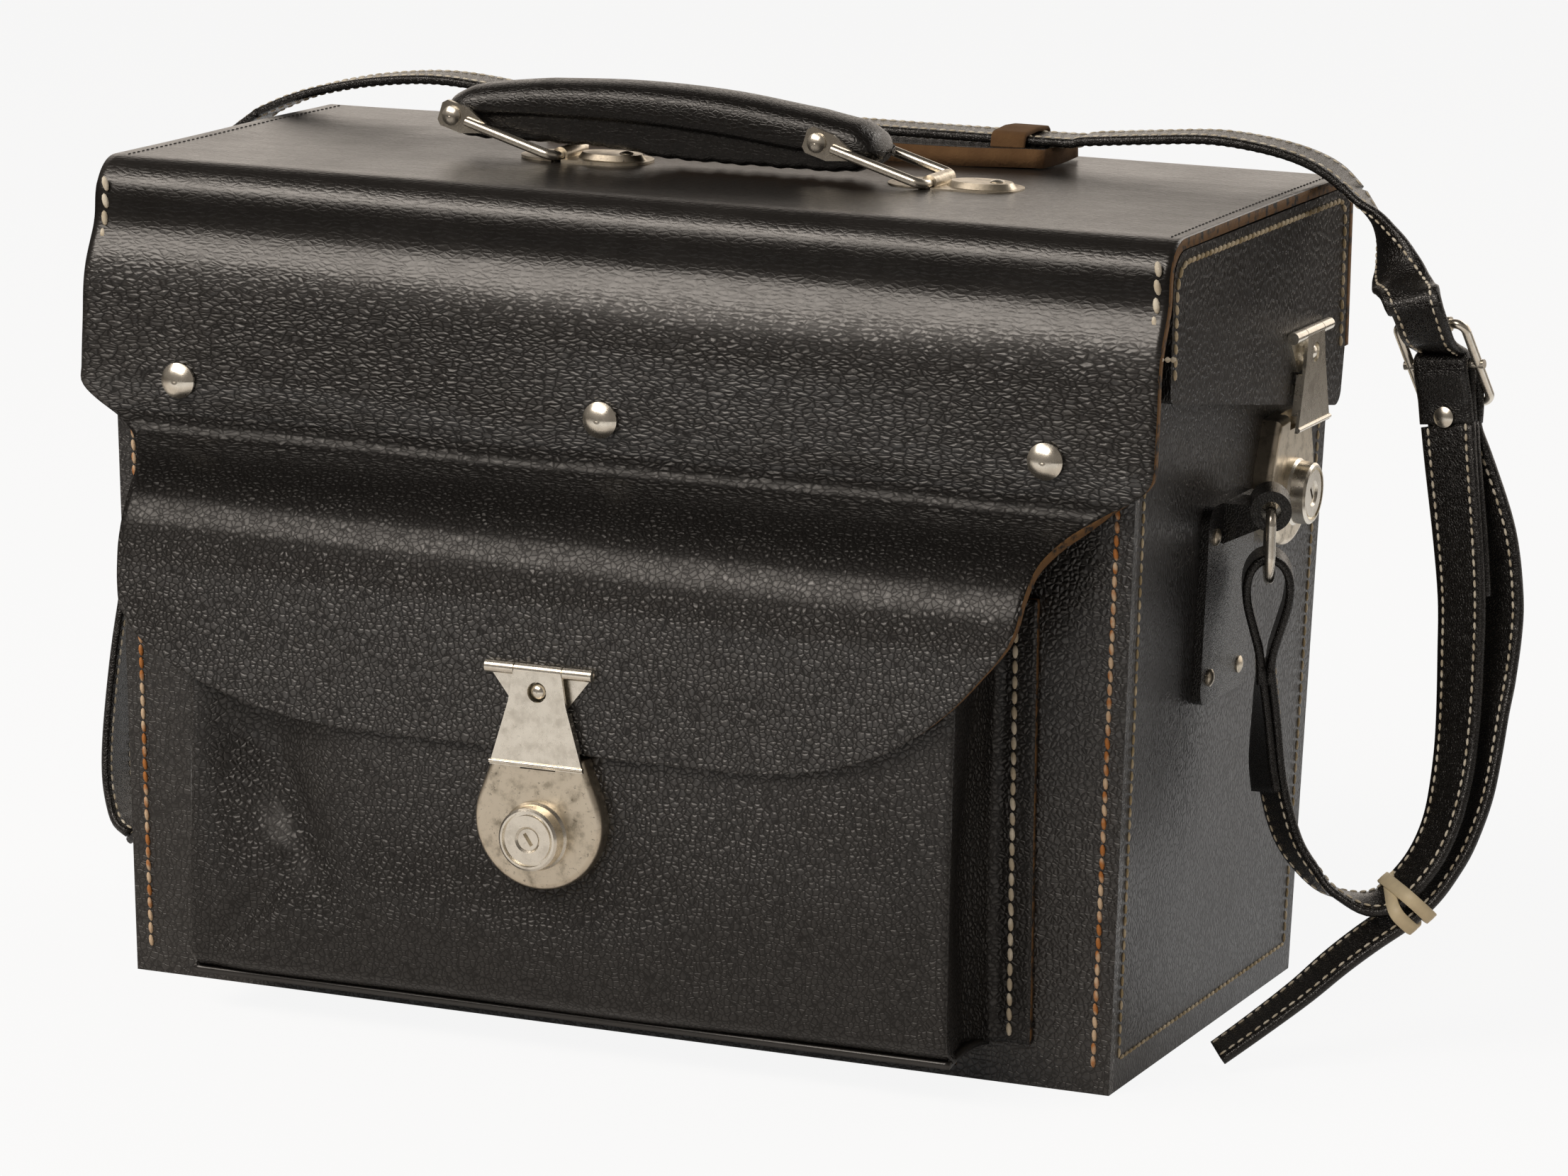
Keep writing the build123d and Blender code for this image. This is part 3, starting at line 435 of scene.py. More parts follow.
def pressed_leather(name, tone, rough, depth=0.00016, size=820.0, stretch=(1.0, 1.0, 0.4)):
    """Leather pressed flat: a fine crackle that leaves most of the gloss."""
    graph = Graph(name)
    cells = graph.cells(graph.place(scale=stretch, warp=0.0015, size=200.0), size)
    plates = cells.step(0.0, 0.2)
    fine = graph.noise(graph.place(), 1900.0, 3.0)
    broad = graph.noise(graph.place(), 24.0, 4.0, 0.6)
    ripple = graph.noise(graph.place(), 150.0, 3.0, 0.5)
    height = plates * 0.7 + fine * 0.25 + ripple * 0.8 + broad * 2.0
    lighter = [c * 1.5 for c in tone[:3]] + [1.0]
    colour = graph.blend(broad.step(0.35, 0.75), tone, lighter)
    colour = graph.blend(plates, [c * 0.45 for c in tone[:3]] + [1.0], colour)
    scuff = graph.noise(graph.place(), 170.0, 5.0, 0.7).step(0.67, 0.78)
    return graph.finish(
        Base_Color=graph.blend(scuff * 0.10, colour, (0.13, 0.115, 0.10, 1.0)),
        Roughness=rough + 0.16 - plates * 0.14 + broad * 0.1 + scuff * 0.08,
        Specular_IOR_Level=0.6,
        Normal=graph.bump(height, depth, 0.9),
    )


def raw_edge():
    """A cut edge: brown fibre that shows where the black dye has worn off."""
    graph = Graph("raw_edge")
    patch = graph.noise(graph.place(), 260.0, 4.0, 0.6)
    fibre = graph.noise(graph.place(), 1600.0, 2.0)
    dyed, brown = (0.0132, 0.012, 0.0108, 1.0), (0.190, 0.098, 0.034, 1.0)
    colour = graph.blend(patch.step(0.36, 0.52), dyed, brown)
    return graph.finish(Base_Color=colour, Roughness=0.75, Normal=graph.bump(fibre, 0.0003, 0.7))


def suede():
    graph = Graph("brown_suede")
    fibre = graph.noise(graph.place(), 900.0, 4.0, 0.7)
    patch = graph.noise(graph.place(), 120.0, 3.0)
    colour = graph.blend(patch, (0.09, 0.042, 0.016, 1.0), (0.20, 0.11, 0.045, 1.0))
    return graph.finish(Base_Color=colour, Roughness=0.95, Normal=graph.bump(fibre, 0.0004, 0.9))


def thread(name, light, dark):
    graph = Graph(name)
    change = graph.noise(graph.place(), 150.0, 2.0).step(0.42, 0.6)
    twist = graph.noise(graph.place(), 2600.0, 1.0)
    colour = graph.blend(change, light, dark)
    return graph.finish(Base_Color=colour, Roughness=0.7, Normal=graph.bump(twist, 0.0002, 0.5))


def nickel(name, tone, rough, wear):
    graph = Graph(name)
    scratch = graph.noise(graph.place(scale=(1.0, 1.0, 0.25)), 900.0, 5.0, 0.7)
    patch = graph.noise(graph.place(), 180.0, 5.0, 0.65)
    spots = graph.noise(graph.place(), 700.0, 4.0, 0.7).step(0.60, 0.72)
    tarnish = patch.step(0.45, 0.75) * wear
    colour = graph.blend(tarnish, tone, (0.20, 0.17, 0.12, 1.0))
    colour = graph.blend(spots * wear, colour, (0.10, 0.08, 0.06, 1.0))
    return graph.finish(
        Base_Color=colour,
        Metallic=1.0,
        Roughness=rough + patch * 0.22 + scratch * 0.08,
        Normal=graph.bump(scratch, 0.00003, 0.6),
    )


def plain(name, colour, rough, grain, depth):
    graph = Graph(name)
    weave = graph.noise(graph.place(), grain, 3.0)
    tint = graph.blend(weave, [c * 0.8 for c in colour[:3]] + [1.0], colour)
    return graph.finish(Base_Color=tint, Roughness=rough, Normal=graph.bump(weave, depth, 0.6))


PEBBLED = pebbled_leather()
SIDE = pressed_leather("side_leather", (0.0105, 0.0092, 0.0092, 1.0), 0.21)
STRAP = pressed_leather(
    "strap_leather", (0.0065, 0.0056, 0.0052, 1.0), 0.15, 0.00012, 1100.0, (1.0, 1.0, 1.0)
)
GRIP = pressed_leather(
    "grip_leather", (0.0080, 0.0069, 0.0063, 1.0), 0.20, 0.00009, 800.0, (0.5, 1.0, 1.0)
)
EDGE = raw_edge()
SUEDE = suede()
CREAM = thread("cream_thread", (0.72, 0.62, 0.44, 1.0), (0.44, 0.35, 0.20, 1.0))
WHITE = thread("white_thread", (0.85, 0.80, 0.68, 1.0), (0.62, 0.55, 0.42, 1.0))
RUST = thread("rust_thread", (0.78, 0.60, 0.42, 1.0), (0.52, 0.20, 0.05, 1.0))
BLACK = thread("black_thread", (0.02, 0.02, 0.02, 1.0), (0.012, 0.01, 0.01, 1.0))
NICKEL = nickel("nickel", (0.90, 0.85, 0.75, 1.0), 0.12, 0.25)
WORN = nickel("worn_nickel", (0.78, 0.70, 0.57, 1.0), 0.20, 0.7)
LINING = plain("wine_lining", (0.06, 0.012, 0.012, 1.0), 0.95, 1400.0, 0.0004)
RUBBER = plain("ivory_rubber", (0.92, 0.80, 0.55, 1.0), 0.45, 400.0, 0.0001)
print("materials ready")

# %% [markdown]
# ## The rigid parts
# Board panels, metal and rivets are taken as they are from the frame. Only their finish is
# given here.

# %%
FINISH = (
    (SIDE, ("right_side_panel", "left_side_panel", "back_panel")),
    (SIDE, ("right_lid_skirt", "left_lid_skirt")),
    (PEBBLED, ("front_panel", "bottom_panel")),
    (LINING, ("case_lining", "lid_lining")),
    (STRAP, ("right_strap_tab", "left_strap_tab")),
    (WORN, ("front_lock_case", "right_lock_case", "left_lock_case")),
    (WORN, ("left_handle_plate", "right_handle_plate", "tab_rivets")),
)
PANEL_PEBBLE = 0.55


def give(node, material):
    node.data.materials.clear()
    node.data.materials.append(material)


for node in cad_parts.values():
    give(node, NICKEL)
for material, names in FINISH:
    for name in names:
        give(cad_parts[name], material)
front_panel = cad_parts["front_panel"]
mask(front_panel, "pebble", [PANEL_PEBBLE] * len(front_panel.data.vertices))
print("finishes given")

# %% [markdown]
# ## The lid's leather and the front flap
# One hide runs from the hinge at the back, over the top, down the front and on as the flap over
# the pocket. It is stiff over the lid's board, then bulges, drops into a valley under the studs
# and rides out over the pocket. Its cut edge is a line on each side: full width on the lid, a
# soft shoulder, then the tongue with its two round corners.

# %%
LID_TOP = 289.5
HALF = 197.7  # from the middle to the end of the lid
STUDS = (-160, 0, 160)
STUD_HEIGHT = 216
HIDE = rounded(
    [
        (93.5, 228.5),
        (93.5, LID_TOP),
        (-97.5, LID_TOP),
        (-98.0, 268.0),
        (-107.3, 250.0),
        (-107.3, 212.0),
        (-104.5, 199.0),
        (-124.0, 187.0),
        (-142.4, 175.5),
        (-141.1, 108.0),
    ],
    [10, 14, 18, 38, 40, 10, 14, 34],
    1.6,
)
HIDE_RUN = np.concatenate([[0], np.cumsum(np.linalg.norm(np.diff(HIDE, axis=0), axis=1))])
HIDE_ALONG = np.gradient(HIDE, axis=0)
HIDE_ALONG /= np.linalg.norm(HIDE_ALONG, axis=1, keepdims=True)
RIGHT_CUT = [
    (300, HALF), (216, HALF), (211, 196.6), (206, 192), (200, 182), (193, 171.5), (186, 166),
    (176, 164.5), (166, 163.5), (158, 160), (148, 152), (138, 143), (128, 131.5), (119.5, 118),
    (113, 101), (109.5, 84), (108, 66),
]
LEFT_CUT = [
    (300, HALF), (218, HALF + 0.5), (212, 198), (206, 192), (200, 182), (193, 173), (186, 167.5),
    (176, 166), (160, 166), (150, 166), (142, 164.5), (133, 158), (126, 148), (119, 134),
    (113, 115), (109.5, 97), (108, 78),
]


def hide_share(v):
    """Rows lie closer together near the flap's foot, where its corners turn."""
    return 1 - (1 - v) ** 1.25


def hide_row(v):
    """A row of the hide: its place, its direction and how much hide lies above it."""
    place = hide_share(v) * (len(HIDE) - 1)
    i = min(int(place), len(HIDE) - 2)
    t = place - i
    spot = HIDE[i] * (1 - t) + HIDE[i + 1] * t
    along = HIDE_ALONG[i] * (1 - t) + HIDE_ALONG[i + 1] * t
    return spot, along, HIDE_RUN[-1] * hide_share(v)


FRONT_RUN = float(HIDE_RUN[np.argmax(HIDE[:, 0] < -96)])


def lid_sway(x, y):
    """How far the top's leather stands above its plane: it has sunk at the left back corner."""
    return 0.6 * math.sin(x / 90 + 0.5) * math.cos(y / 50) - 1.6 * ease(-x, 60, 200) * hump(y, 92, 46)


def hide_place(u, v):
    """A point of the hide: bulges, folds and dimples pushed out from its smooth line."""
    (y, z), (dy, dz), run = hide_row(v)
    front = run > FRONT_RUN
    right = between(RIGHT_CUT, z) if front else HALF
    left = between(LEFT_CUT, z) if front else HALF
    x = -left + u * (left + right)
    out = 0.0
    if front:
        out += 1.5 * math.sin(x / 61 + 0.8) * hump(z, 240, 14) * ease(284 - z, 0, 14)
        out += 1.1 * math.sin(x / 37 + 2.1) * hump(z, 204, 9)
        out += 1.4 * math.sin(x / 83 + 1.0) * hump(z, 154, 20) * ease(z, 106, 126)
        out += 1.2 * ease(abs(x), 120, 165) * hump(z, 120, 26)
        for stud in STUDS:
            out *= 1 - hump(x, stud, 20) * hump(z, STUD_HEIGHT, 18)
            out -= 0.7 * hump(x, stud, 10) * hump(z, STUD_HEIGHT, 9)
        out *= 1 - hump(x, -5, 60) * hump(z, 127, 34)
    else:
        out += lid_sway(x, y) * ease(z, 284, 289)
    return (x, y + dz * out, z - dy * out)


def hide_pebble(u, v):
    _, _, run = hide_row(v)
    return 0.12 + 0.88 * ease(run, FRONT_RUN + 22, FRONT_RUN + 40)


def hide_crease(u, v):
    (_, z), _, run = hide_row(v)
    return ease(z, 188, 197) if run > FRONT_RUN else 1.0


def hide_painted_shade(u, v):
    """Painted shade with less polish: the valley below the studs, the bulge's lower edge, the steep
    band below the top's front edge and the knee are darkened.
    """
    (_, z), _, run = hide_row(v)
    folds = hump(z, 190, 8) + 0.5 * hump(z, 201, 5)
    folds += 0.8 * hump(z, 276, 10) + 0.45 * hump(z, 177, 9)
    return min(folds, 1.0) if run > FRONT_RUN else 0.0


hide = sheet(
    "front_hide",
    len(HIDE) - 1,
    150,
    hide_place,
    [PEBBLED, EDGE],
    3.6,
    masks={"pebble": hide_pebble, "crease": hide_crease, "dull_painted_shade": hide_painted_shade},
    turned=True,
)
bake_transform(hide)
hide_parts("lid_cover", "front_flap")
print("hide:", len(hide.data.vertices), "points, cut length", round(HIDE_RUN[-1]), "mm")

# %% [markdown]
# ## The leather hinge
# At the back a strip of softer leather is sewn to the case below and to the lid above. It is the lid's
# hinge. The strip is one fixed sheet; only its upper row of stitches rides with the lid.

# %%
HINGE_WIDTH = 368.0
HINGE = rounded([(100.6, 204), (101.2, 224), (95.4, 240), (95.4, 258)], [9, 9], 1.6)


def hinge_place(u, v):
    place = v * (len(HINGE) - 1)
    i = min(int(place), len(HINGE) - 2)
    y, z = HINGE[i] + (HINGE[i + 1] - HINGE[i]) * (place - i)
    ripple = 0.3 * math.sin(u * 31 + v * 5) * math.sin(v * math.pi)
    return (HINGE_WIDTH * (u - 0.5), y + ripple, z)


hinge = sheet("leather_hinge", len(HINGE) - 1, 90, hinge_place, [SIDE, EDGE], 1.5, turned=True)
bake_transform(hinge)
HINGE_SEAMS = (("lower", 101.0, 208.5, "case"), ("upper", 95.6, 254.0, "lid"))
for name, y, z, body in HINGE_SEAMS:
    row = [(x, y, z) for x in np.linspace(3 - HINGE_WIDTH / 2, HINGE_WIDTH / 2 - 3, 90)]
    stitches(f"{name}_hinge_stitches", row, (0, 1, 0), CREAM, body, pitch=4.2, length=3.5, thick=0.7)
print("hinge made")

# %% [markdown]
# ## The pocket
# The pocket's front is one soft sheet. At each side it is folded back sharply into a gusset that
# caves in, and turned out again as the flange that is sewn to the case. The front sags beside
# its left edge and fills out towards the bottom.

# %%
LEAN = math.tan(math.radians(1.45))
POCKET_TOP = 168.0
POCKET_LOW = 15.0
POCKET_LINES = {}


def case_front(z):
    return -(187.5 / 2 + z * LEAN)


def pocket_line(z):
    """The pocket's outline at one height, from one flange round the front to the other."""
    back = case_front(z) - 2.6
    cave = 6.0 * hump(z, 70, 60)
    points = [
        (-155, back),
        (-142, back),
        (-140.5 + cave * 0.4, (back - 137) / 2),
        (-140.5, -137),
        (141.5, -137),
        (141 - cave, (back - 137) / 2 + 4),
        (142, back),
        (156, back),
    ]
    return rounded(points, [2.5, 14, 1.2, 1.2, 14, 2.5], 2.0)


def pocket_front_out(x, z):
    """How far the front stands out from its plane: sags are negative."""
    inside = ease(141 - abs(x), 0, 22)
    sag = -9.5 * hump(x, -112, 20) * hump(z, 108, 34)
    sag += -4.5 * hump(0.8 * (x + 100) + 0.5 * (z - 70), 0, 9) * hump(z, 72, 26)
    sag += -2.5 * hump(0.7 * (x + 118) - 0.6 * (z - 38), 0, 5) * hump(z, 38, 18)
    fill = 6.0 * hump(x, -40, 70) * hump(z, 44, 24) + 4.0 * hump(x, 80, 50) * hump(z, 60, 34)
    fill += 1.6 * math.sin(x / 23 + z / 31) * hump(z, 60, 50)
    flat = 1 - hump(x, -5, 34) * hump(z, 88, 44)
    return (sag * ease(141 - abs(x), 0, 14) + fill * inside) * flat


def pocket_place(u, v):
    z = POCKET_LOW + (POCKET_TOP - POCKET_LOW) * v
    if z not in POCKET_LINES:
        POCKET_LINES[z] = spaced(pocket_line(z), 0.5)
    line = POCKET_LINES[z]
    place = u * (len(line) - 1)
    i = min(int(place), len(line) - 2)
    x, y = line[i] + (line[i + 1] - line[i]) * (place - i)
    if y < -130:
        round_under = 9.0 * (1 - math.sqrt(1 - ease(POCKET_LOW + 10 - z, 0, 10) ** 2 * 0.96))
        y = y - pocket_front_out(x, z) + round_under + 2.5 * ease(z, 150, 166)
    return (x, y, z)


pocket = sheet(
    "pocket_leather",
    96,
    260,
    pocket_place,
    [PEBBLED, EDGE],
    2.4,
    "case",
    masks={
        "pebble": lambda u, v: 0.65 + 0.3 * hump(u, 0.5, 0.24) * ease(v, 0.15, 0.5),
        # Painted shade: the pocket is darkened towards its sides and its bottom.
        "dull_painted_shade": lambda u, v: 0.45 - 0.45 * hump(u, 0.5, 0.3) * ease(v, 0.25, 0.6),
    },
)
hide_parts("pocket_front", "pocket_gusset")


def pocket_floor_place(u, v):
    x = -141 + 282 * u
    near = -132.5
    far = case_front(POCKET_LOW) - 1
    return (x, near + (far - near) * v, POCKET_LOW + 0.4 + 2.2 * math.sin(v * math.pi))


pocket_floor = sheet("pocket_floor", 14, 120, pocket_floor_place, [PEBBLED], 2.2, "case")
print("pocket:", len(pocket.data.vertices), "points")

# %% [markdown]
# ## The carrying handle
# The grip is moulded leather over a core: an arched upper shell and a narrower belly under it,
# with a crease where the two meet.

# %%
GRIP_LEFT, GRIP_RIGHT = -102.0, 64.5
GRIP_SECTIONS = 112
GRIP_TOP = [
    (-102, 303), (-99.5, 309), (-92, 313), (-81, 315), (-64, 317), (-29, 318.3), (5, 317),
    (39, 313), (55, 310), (62, 306), (64.5, 301),
]
GRIP_LOW = [
    (-102, 301), (-97, 296), (-88, 294.8), (-45, 294.8), (-30, 294), (-16, 292.3), (45, 292.2),
    (55, 293), (62, 296), (64.5, 299),
]
GRIP_CREASE = [
    (-102, 302), (-86, 304), (-64, 305), (-29, 305), (5, 303), (39, 299.5), (56, 298), (64.5, 300),
]
GRIP_HALF = [
    (-102, 6), (-99, 10.5), (-93, 12.3), (-80, 12.5), (45, 12.5), (56, 12.2), (62, 10.5),
    (64.5, 6),
]


def grip_outline(share):
    """The grip's cross-section: an upper shell, a crease and a narrower belly."""
    x = GRIP_LEFT + (GRIP_RIGHT - GRIP_LEFT) * share
    top = between(GRIP_TOP, x)
    low = between(GRIP_LOW, x)
    crease = between(GRIP_CREASE, x)
    w = between(GRIP_HALF, x)
    belly = w * 0.8
    right = [
        (0.4 * w, top - 0.2), (0.72 * w, top - 1.3), (0.92 * w, top - 3.4),
        (w, top - 6.2), (w, crease + 2.6), (0.97 * w, crease + 1.0),
        (0.9 * w, crease + 0.2), (belly * 1.02, crease - 0.4), (belly, crease - 2),
        (belly, low + 3.4), (0.93 * belly, low + 1.4), (0.7 * belly, low + 0.3),
    ]
    return [(0, top), *right, (0, low), *[(-a, b) for a, b in reversed(right)]]


grip_line = [(x, -12.0, 0.0) for x in np.linspace(GRIP_LEFT, GRIP_RIGHT, GRIP_SECTIONS)]
grip_sides = [(0, -1, 0)] * GRIP_SECTIONS
grip = band("grip_leather_body", grip_line, grip_sides, grip_outline, [GRIP])
for vert in grip.data.vertices:
    lift = 0.25 * math.sin(vert.co.x * 900) + 0.2 * math.sin(vert.co.x * 391 + vert.co.y * 300)
    if vert.co.z < 0.300:
        vert.co.z += lift * MM
grip_soft = grip.modifiers.new("soft", "SUBSURF")
grip_soft.levels = 1
grip_soft.render_levels = 1
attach(grip, "grip")
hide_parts("handle_grip")
print("handle made")

# %% [markdown]
# ## The shoulder strap
# The strap is two thin layers sewn back to back. It starts at the left ring, hangs down and
# comes up again behind the case, crosses the lid over its pad, twists as it drops at the right
# and is threaded through the buckle. The short strap comes up from the right ring to meet it,
# and a rubber band holds the loose tail. Each station says how far the near edge is turned
# towards the right.

# %%
STRAP_WIDTH = 20.0
STRAP_THICK = 3.0
OVER_PAD = LID_TOP + 0.3 + 7.0 + 0.3 + STRAP_THICK / 2


def strap_sides(turns):
    return [(-math.sin(math.radians(t)), math.cos(math.radians(t)), 0.0) for t in turns]


def strap(name, stations, body=None, shift=0.0, edges=True):
    """A length of strap with the two rows of stitches on each of its faces."""
    line = curve(stations, 2.4)
    sides = np.array(strap_sides(line[:, 3]))
    centre = line[:, :3]
    tangents = np.gradient(centre, axis=0)
    tangents /= np.linalg.norm(tangents, axis=1, keepdims=True)
    sides = sides - tangents * np.sum(sides * tangents, axis=1, keepdims=True)
    sides /= np.linalg.norm(sides, axis=1, keepdims=True)
    normals = np.cross(sides, tangents)
    centre = centre + normals * shift
    outline = flat_outline(STRAP_WIDTH, STRAP_THICK)
    pieces = [band(name, centre, sides, lambda share: outline, [STRAP])]
    if edges:
        for side in (-1, 1):
            for face in (-1, 1):
                row = centre + sides * side * (STRAP_WIDTH / 2 - 3.0) + normals * face * STRAP_THICK / 2
                label = f"{name}_stitches_{'far' if side > 0 else 'near'}_{'in' if face > 0 else 'out'}"
                pieces.append(stitches(label, row, normals * face, WHITE, None, thick=0.58, slant=3))
    for piece in pieces:
        if body:
            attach(piece, body)
    return pieces


LEFT_DROP = [
    (-204.7, -7, 132, -20), (-206, -7, 112, -12), (-209, -6.5, 84, -4), (-214, -5, 56, 0),
    (-222, -2, 34, 0), (-232, 2, 24, 0),
]
LEFT_RISE = [
    (-232, 2, 24, 0), (-242, 6, 29, 0), (-248.5, 11, 48, 0), (-249.5, 19, 85, 0),
    (-248, 29, 125, 0), (-246.5, 38, 165, 0), (-246, 46, 205, 0), (-243.5, 53, 236, 0),
    (-237, 58, 259, 0), (-226, 60, 276, 0), (-212, 61, 287.5, 0),
]
OVER_LID = [
    (-212, 61, 287.5, 0), (-200, 61, 293, 0), (-186, 61, 297.5, 0), (-165, 60, 302, 0),
    (-140, 59, 304.5, 0), (-116, 58, 303, 0), (-98, 58, OVER_PAD + 1, 0), (-82, 58, OVER_PAD, 0),
    (94, 57, OVER_PAD, 0), (110, 57, OVER_PAD + 1, 0), (136, 57, 302, 0), (158, 58, 303.5, 0),
    (176, 58.5, 302, 0), (189.5, 60, 299, 0), (200, 61, 294.5, 0), (208, 60.5, 288.2, 6),
]
RIGHT_FALL = [
    (208, 60.5, 288.2, 6), (217.3, 56, 279.6, 20), (225.3, 46, 271, 38), (233, 34.5, 264, 56),
    (239, 25.5, 261.4, 70), (243.2, 19.0, 259.9, 79), (245.9, 15.9, 257.2, 83),
    (246.8, 17.2, 253.9, 83), (247.8, 20.4, 248.9, 83), (248.5, 24.3, 243.6, 83),
    (251.0, 37.6, 237.5, 83), (253.6, 40.4, 229, 83), (254.6, 39.8, 221, 83),
    (254.6, 39.2, 215, 83),
]
TAIL = [
    (254.1, 39, 216, 83), (254.8, 38.9, 211, 82), (259.5, 38.3, 201, 78), (270.5, 34, 178, 70),
    (275.2, 30.5, 157.5, 67), (276.5, 26.5, 144, 65), (276.6, 21.5, 130, 63),
    (276.6, 16.7, 121, 61), (276.6, 11.3, 107, 58), (276.2, 5, 92, 53), (273, -1.6, 77, 50),
    (269.7, -5.3, 69, 48), (265.4, -9.1, 61, 46), (258.3, -12.9, 53, 45), (247.8, -17.5, 44.5, 44),
    (238.3, -23, 36, 42), (229, -30, 26.5, 38), (215.5, -38, 14.5, 34), (204.5, -44, 5.2, 32),
]
strap("left_strap_drop", LEFT_DROP, "case")
for piece in strap("left_strap_rise", LEFT_RISE):
    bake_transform(piece)
strap("strap_on_lid", OVER_LID, "lid")
for piece in strap("right_strap_fall", RIGHT_FALL):
    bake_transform(piece)
strap("strap_tail", TAIL, "case")
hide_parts("strap_left_run")
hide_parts("strap_over_lid")
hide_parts("strap_right_run")

DROP = [(204.6, -7, 134, 20), (205.5, -7, 116, 32), (206.6, -8, 99, 42), (208.3, -8.5, 89.8, 45)]
ROUND = [
    (212.7, -9.5, 76.6, 46), (218.5, -10.5, 67.5, 46), (228.7, -12, 58.7, 46),
    (238.4, -12.5, 55.3, 46), (247.5, -12.8, 55, 46), (255, -12.5, 58.2, 47), (261, -11, 64.5, 48),
    (266, -7.5, 73, 49), (269.3, -3, 84, 51), (270.3, 2, 96, 55), (270, 7, 107, 58),
    (269.3, 11, 121, 62), (267.8, 15.5, 139.5, 65),
]
DOUBLED = [(266, 20, 157, 67), (262.2, 25, 177, 71), (256.7, 31, 202, 78), (254.2, 34, 214, 83)]
strap("short_strap", DROP + ROUND + DOUBLED, "case", shift=-1.5)
strap("short_strap_turnback", DOUBLED, "case", shift=1.5, edges=False)
strap("ring_turnback", DROP, "case", shift=1.5, edges=False)
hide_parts("buckle_strap")
print("strap made")

# %% [markdown]
# ## The shoulder pad
# The pad is a thick piece of hide that slides on the strap: black grain above, brown suede on its
# raw edges, and two low keepers that hold the strap down. It lies on the lid behind the handle,
# slack, so it is a little hollow along its middle.

# %%
PAD_LEFT, PAD_LENGTH = -89.0, 190.0
PAD_NEAR, PAD_WIDTH = 35.0, 46.0
PAD_TOP = LID_TOP + 7.2
KEEPER_ARCH = [(45, -3.2), (46, 2.2), (58, 2.9), (70, 2.2), (71, -3.2)]


def pad_place(u, v):
    x = PAD_LEFT + PAD_LENGTH * u
    taper = 5.5 * (hump(u, 0, 0.09) + hump(u, 1, 0.09))
    y = PAD_NEAR + taper + (PAD_WIDTH - 2 * taper) * v
    return (x, y, PAD_TOP - 0.5 * math.sin(v * math.pi) - 0.4 * math.cos(u * 9))


pad = sheet("pad_leather", 14, 60, pad_place, [STRAP, SUEDE], 6.6, "lid")
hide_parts("shoulder_pad")
for x, name in ((-74, "left_keeper"), (86, "right_keeper")):
    line = rounded([(x, y, OVER_PAD + up) for y, up in KEEPER_ARCH], [2.2, 12, 2.2], 1.2)
    sides = [(1, 0, 0)] * len(line)
    keeper = band(name, line, sides, lambda share: flat_outline(13, 1.8, 0.5), [SUEDE], "lid")
print("pad made")

# %% [markdown]
# ## The strap's folded ends
# At each ring the strap is folded back on itself round the wire, and at the buckle the short
# strap is folded round the middle bar. Each fold is a band bent in its own plane.

# %%
RING = (204.5, -7.0, 188.0)
RING_TURN = 20.0


def ring_spot(side, out, down):
    """A point beside the ring, out from its plane and down from its bar; side is -1 or 1."""
    turn = math.radians(RING_TURN)
    return (side * (RING[0] + out * math.cos(turn)), RING[1] + out * math.sin(turn), RING[2] - down)


def ring_loop(name, side):
    path = [
        (-1.6, 60), (-2.2, 50), (-4.6, 41), (-7.0, 32), (-7.2, 24), (-4.6, 18.4), (0, 16.4),
        (4.6, 18.4), (7.2, 24), (7.0, 32), (4.6, 41), (2.2, 50), (1.6, 60),
    ]
    line = curve([ring_spot(side, out, down) for out, down in path], 1.6)
    turn = math.radians(RING_TURN) * side
    sides = [(-math.sin(turn), math.cos(turn), 0)] * len(line)
    outline = flat_outline(STRAP_WIDTH, STRAP_THICK)
    return band(name, line, sides, lambda share: outline, [STRAP], "case")


for side, name in ((-1, "left_ring_loop"), (1, "right_ring_loop")):
    ring_loop(name, side)

BUCKLE = Vector((251.3, 34.5, 234.5))
BUCKLE_BAR = Vector((0.985, -0.121, 0.12)).normalized()
BUCKLE_UP = Vector((-0.12, 0.02, 0.99))
BUCKLE_UP = (BUCKLE_UP - BUCKLE_BAR * BUCKLE_UP.dot(BUCKLE_BAR)).normalized()
BUCKLE_NEAR = BUCKLE_BAR.cross(BUCKLE_UP)
TILT = math.radians(33)
FRAME_UP = BUCKLE_UP * math.cos(TILT) + BUCKLE_NEAR * math.sin(TILT)
FRAME_NEAR = BUCKLE_BAR.cross(FRAME_UP)


def buckle_band(name, path, radii):
    flat = rounded(path, radii, 1.2)
    line = [tuple(BUCKLE + FRAME_UP * a + FRAME_NEAR * b) for a, b in flat]
    outline = flat_outline(STRAP_WIDTH, STRAP_THICK)
    sides = [tuple(BUCKLE_BAR)] * len(line)
    piece = band(name, line, sides, lambda share: outline, [STRAP], "case")


CHAPE_DOWN = (-math.cos(TILT), math.sin(TILT))
CHAPE_OUT = (CHAPE_DOWN[1], -CHAPE_DOWN[0])
CHAPE = [
    (20, 1.5), (12, 1.6), (3, 3.4), (-3.4, 3.4), (-3.4, -3.4), (3, -3.4), (12, -1.6), (20, -1.5),
]


def chape_spot(down, out):
    """A point of the fold, down along the short strap and out from its middle."""
    return tuple(a * down + b * out for a, b in zip(CHAPE_DOWN, CHAPE_OUT))


chape_path = [chape_spot(down, out) for down, out in CHAPE]
buckle_band("strap_round_buckle_bar", chape_path, [10, 3, 3.2, 3.2, 3, 10])
print("folded ends made")

# %% [markdown]
# ## Stitching
# Cream thread runs round the lid's ends and the side panels, rust thread down the front corners
# and white thread down the pocket's flange. The lid's front corners are laced with heavy white
# thread, and black thread follows the edges of the top.

# %%
TOP_EDGE = HALF - 5
SEAM = {"pitch": 4.2, "length": 3.6, "thick": 0.72}
LID_ROW = rounded([(-90.5, 243), (-90.5, 281.5), (84.0, 281.5), (84.0, 229)], [9, 6], 2.0)


def case_side(z):
    return 183.5 + z * LEAN


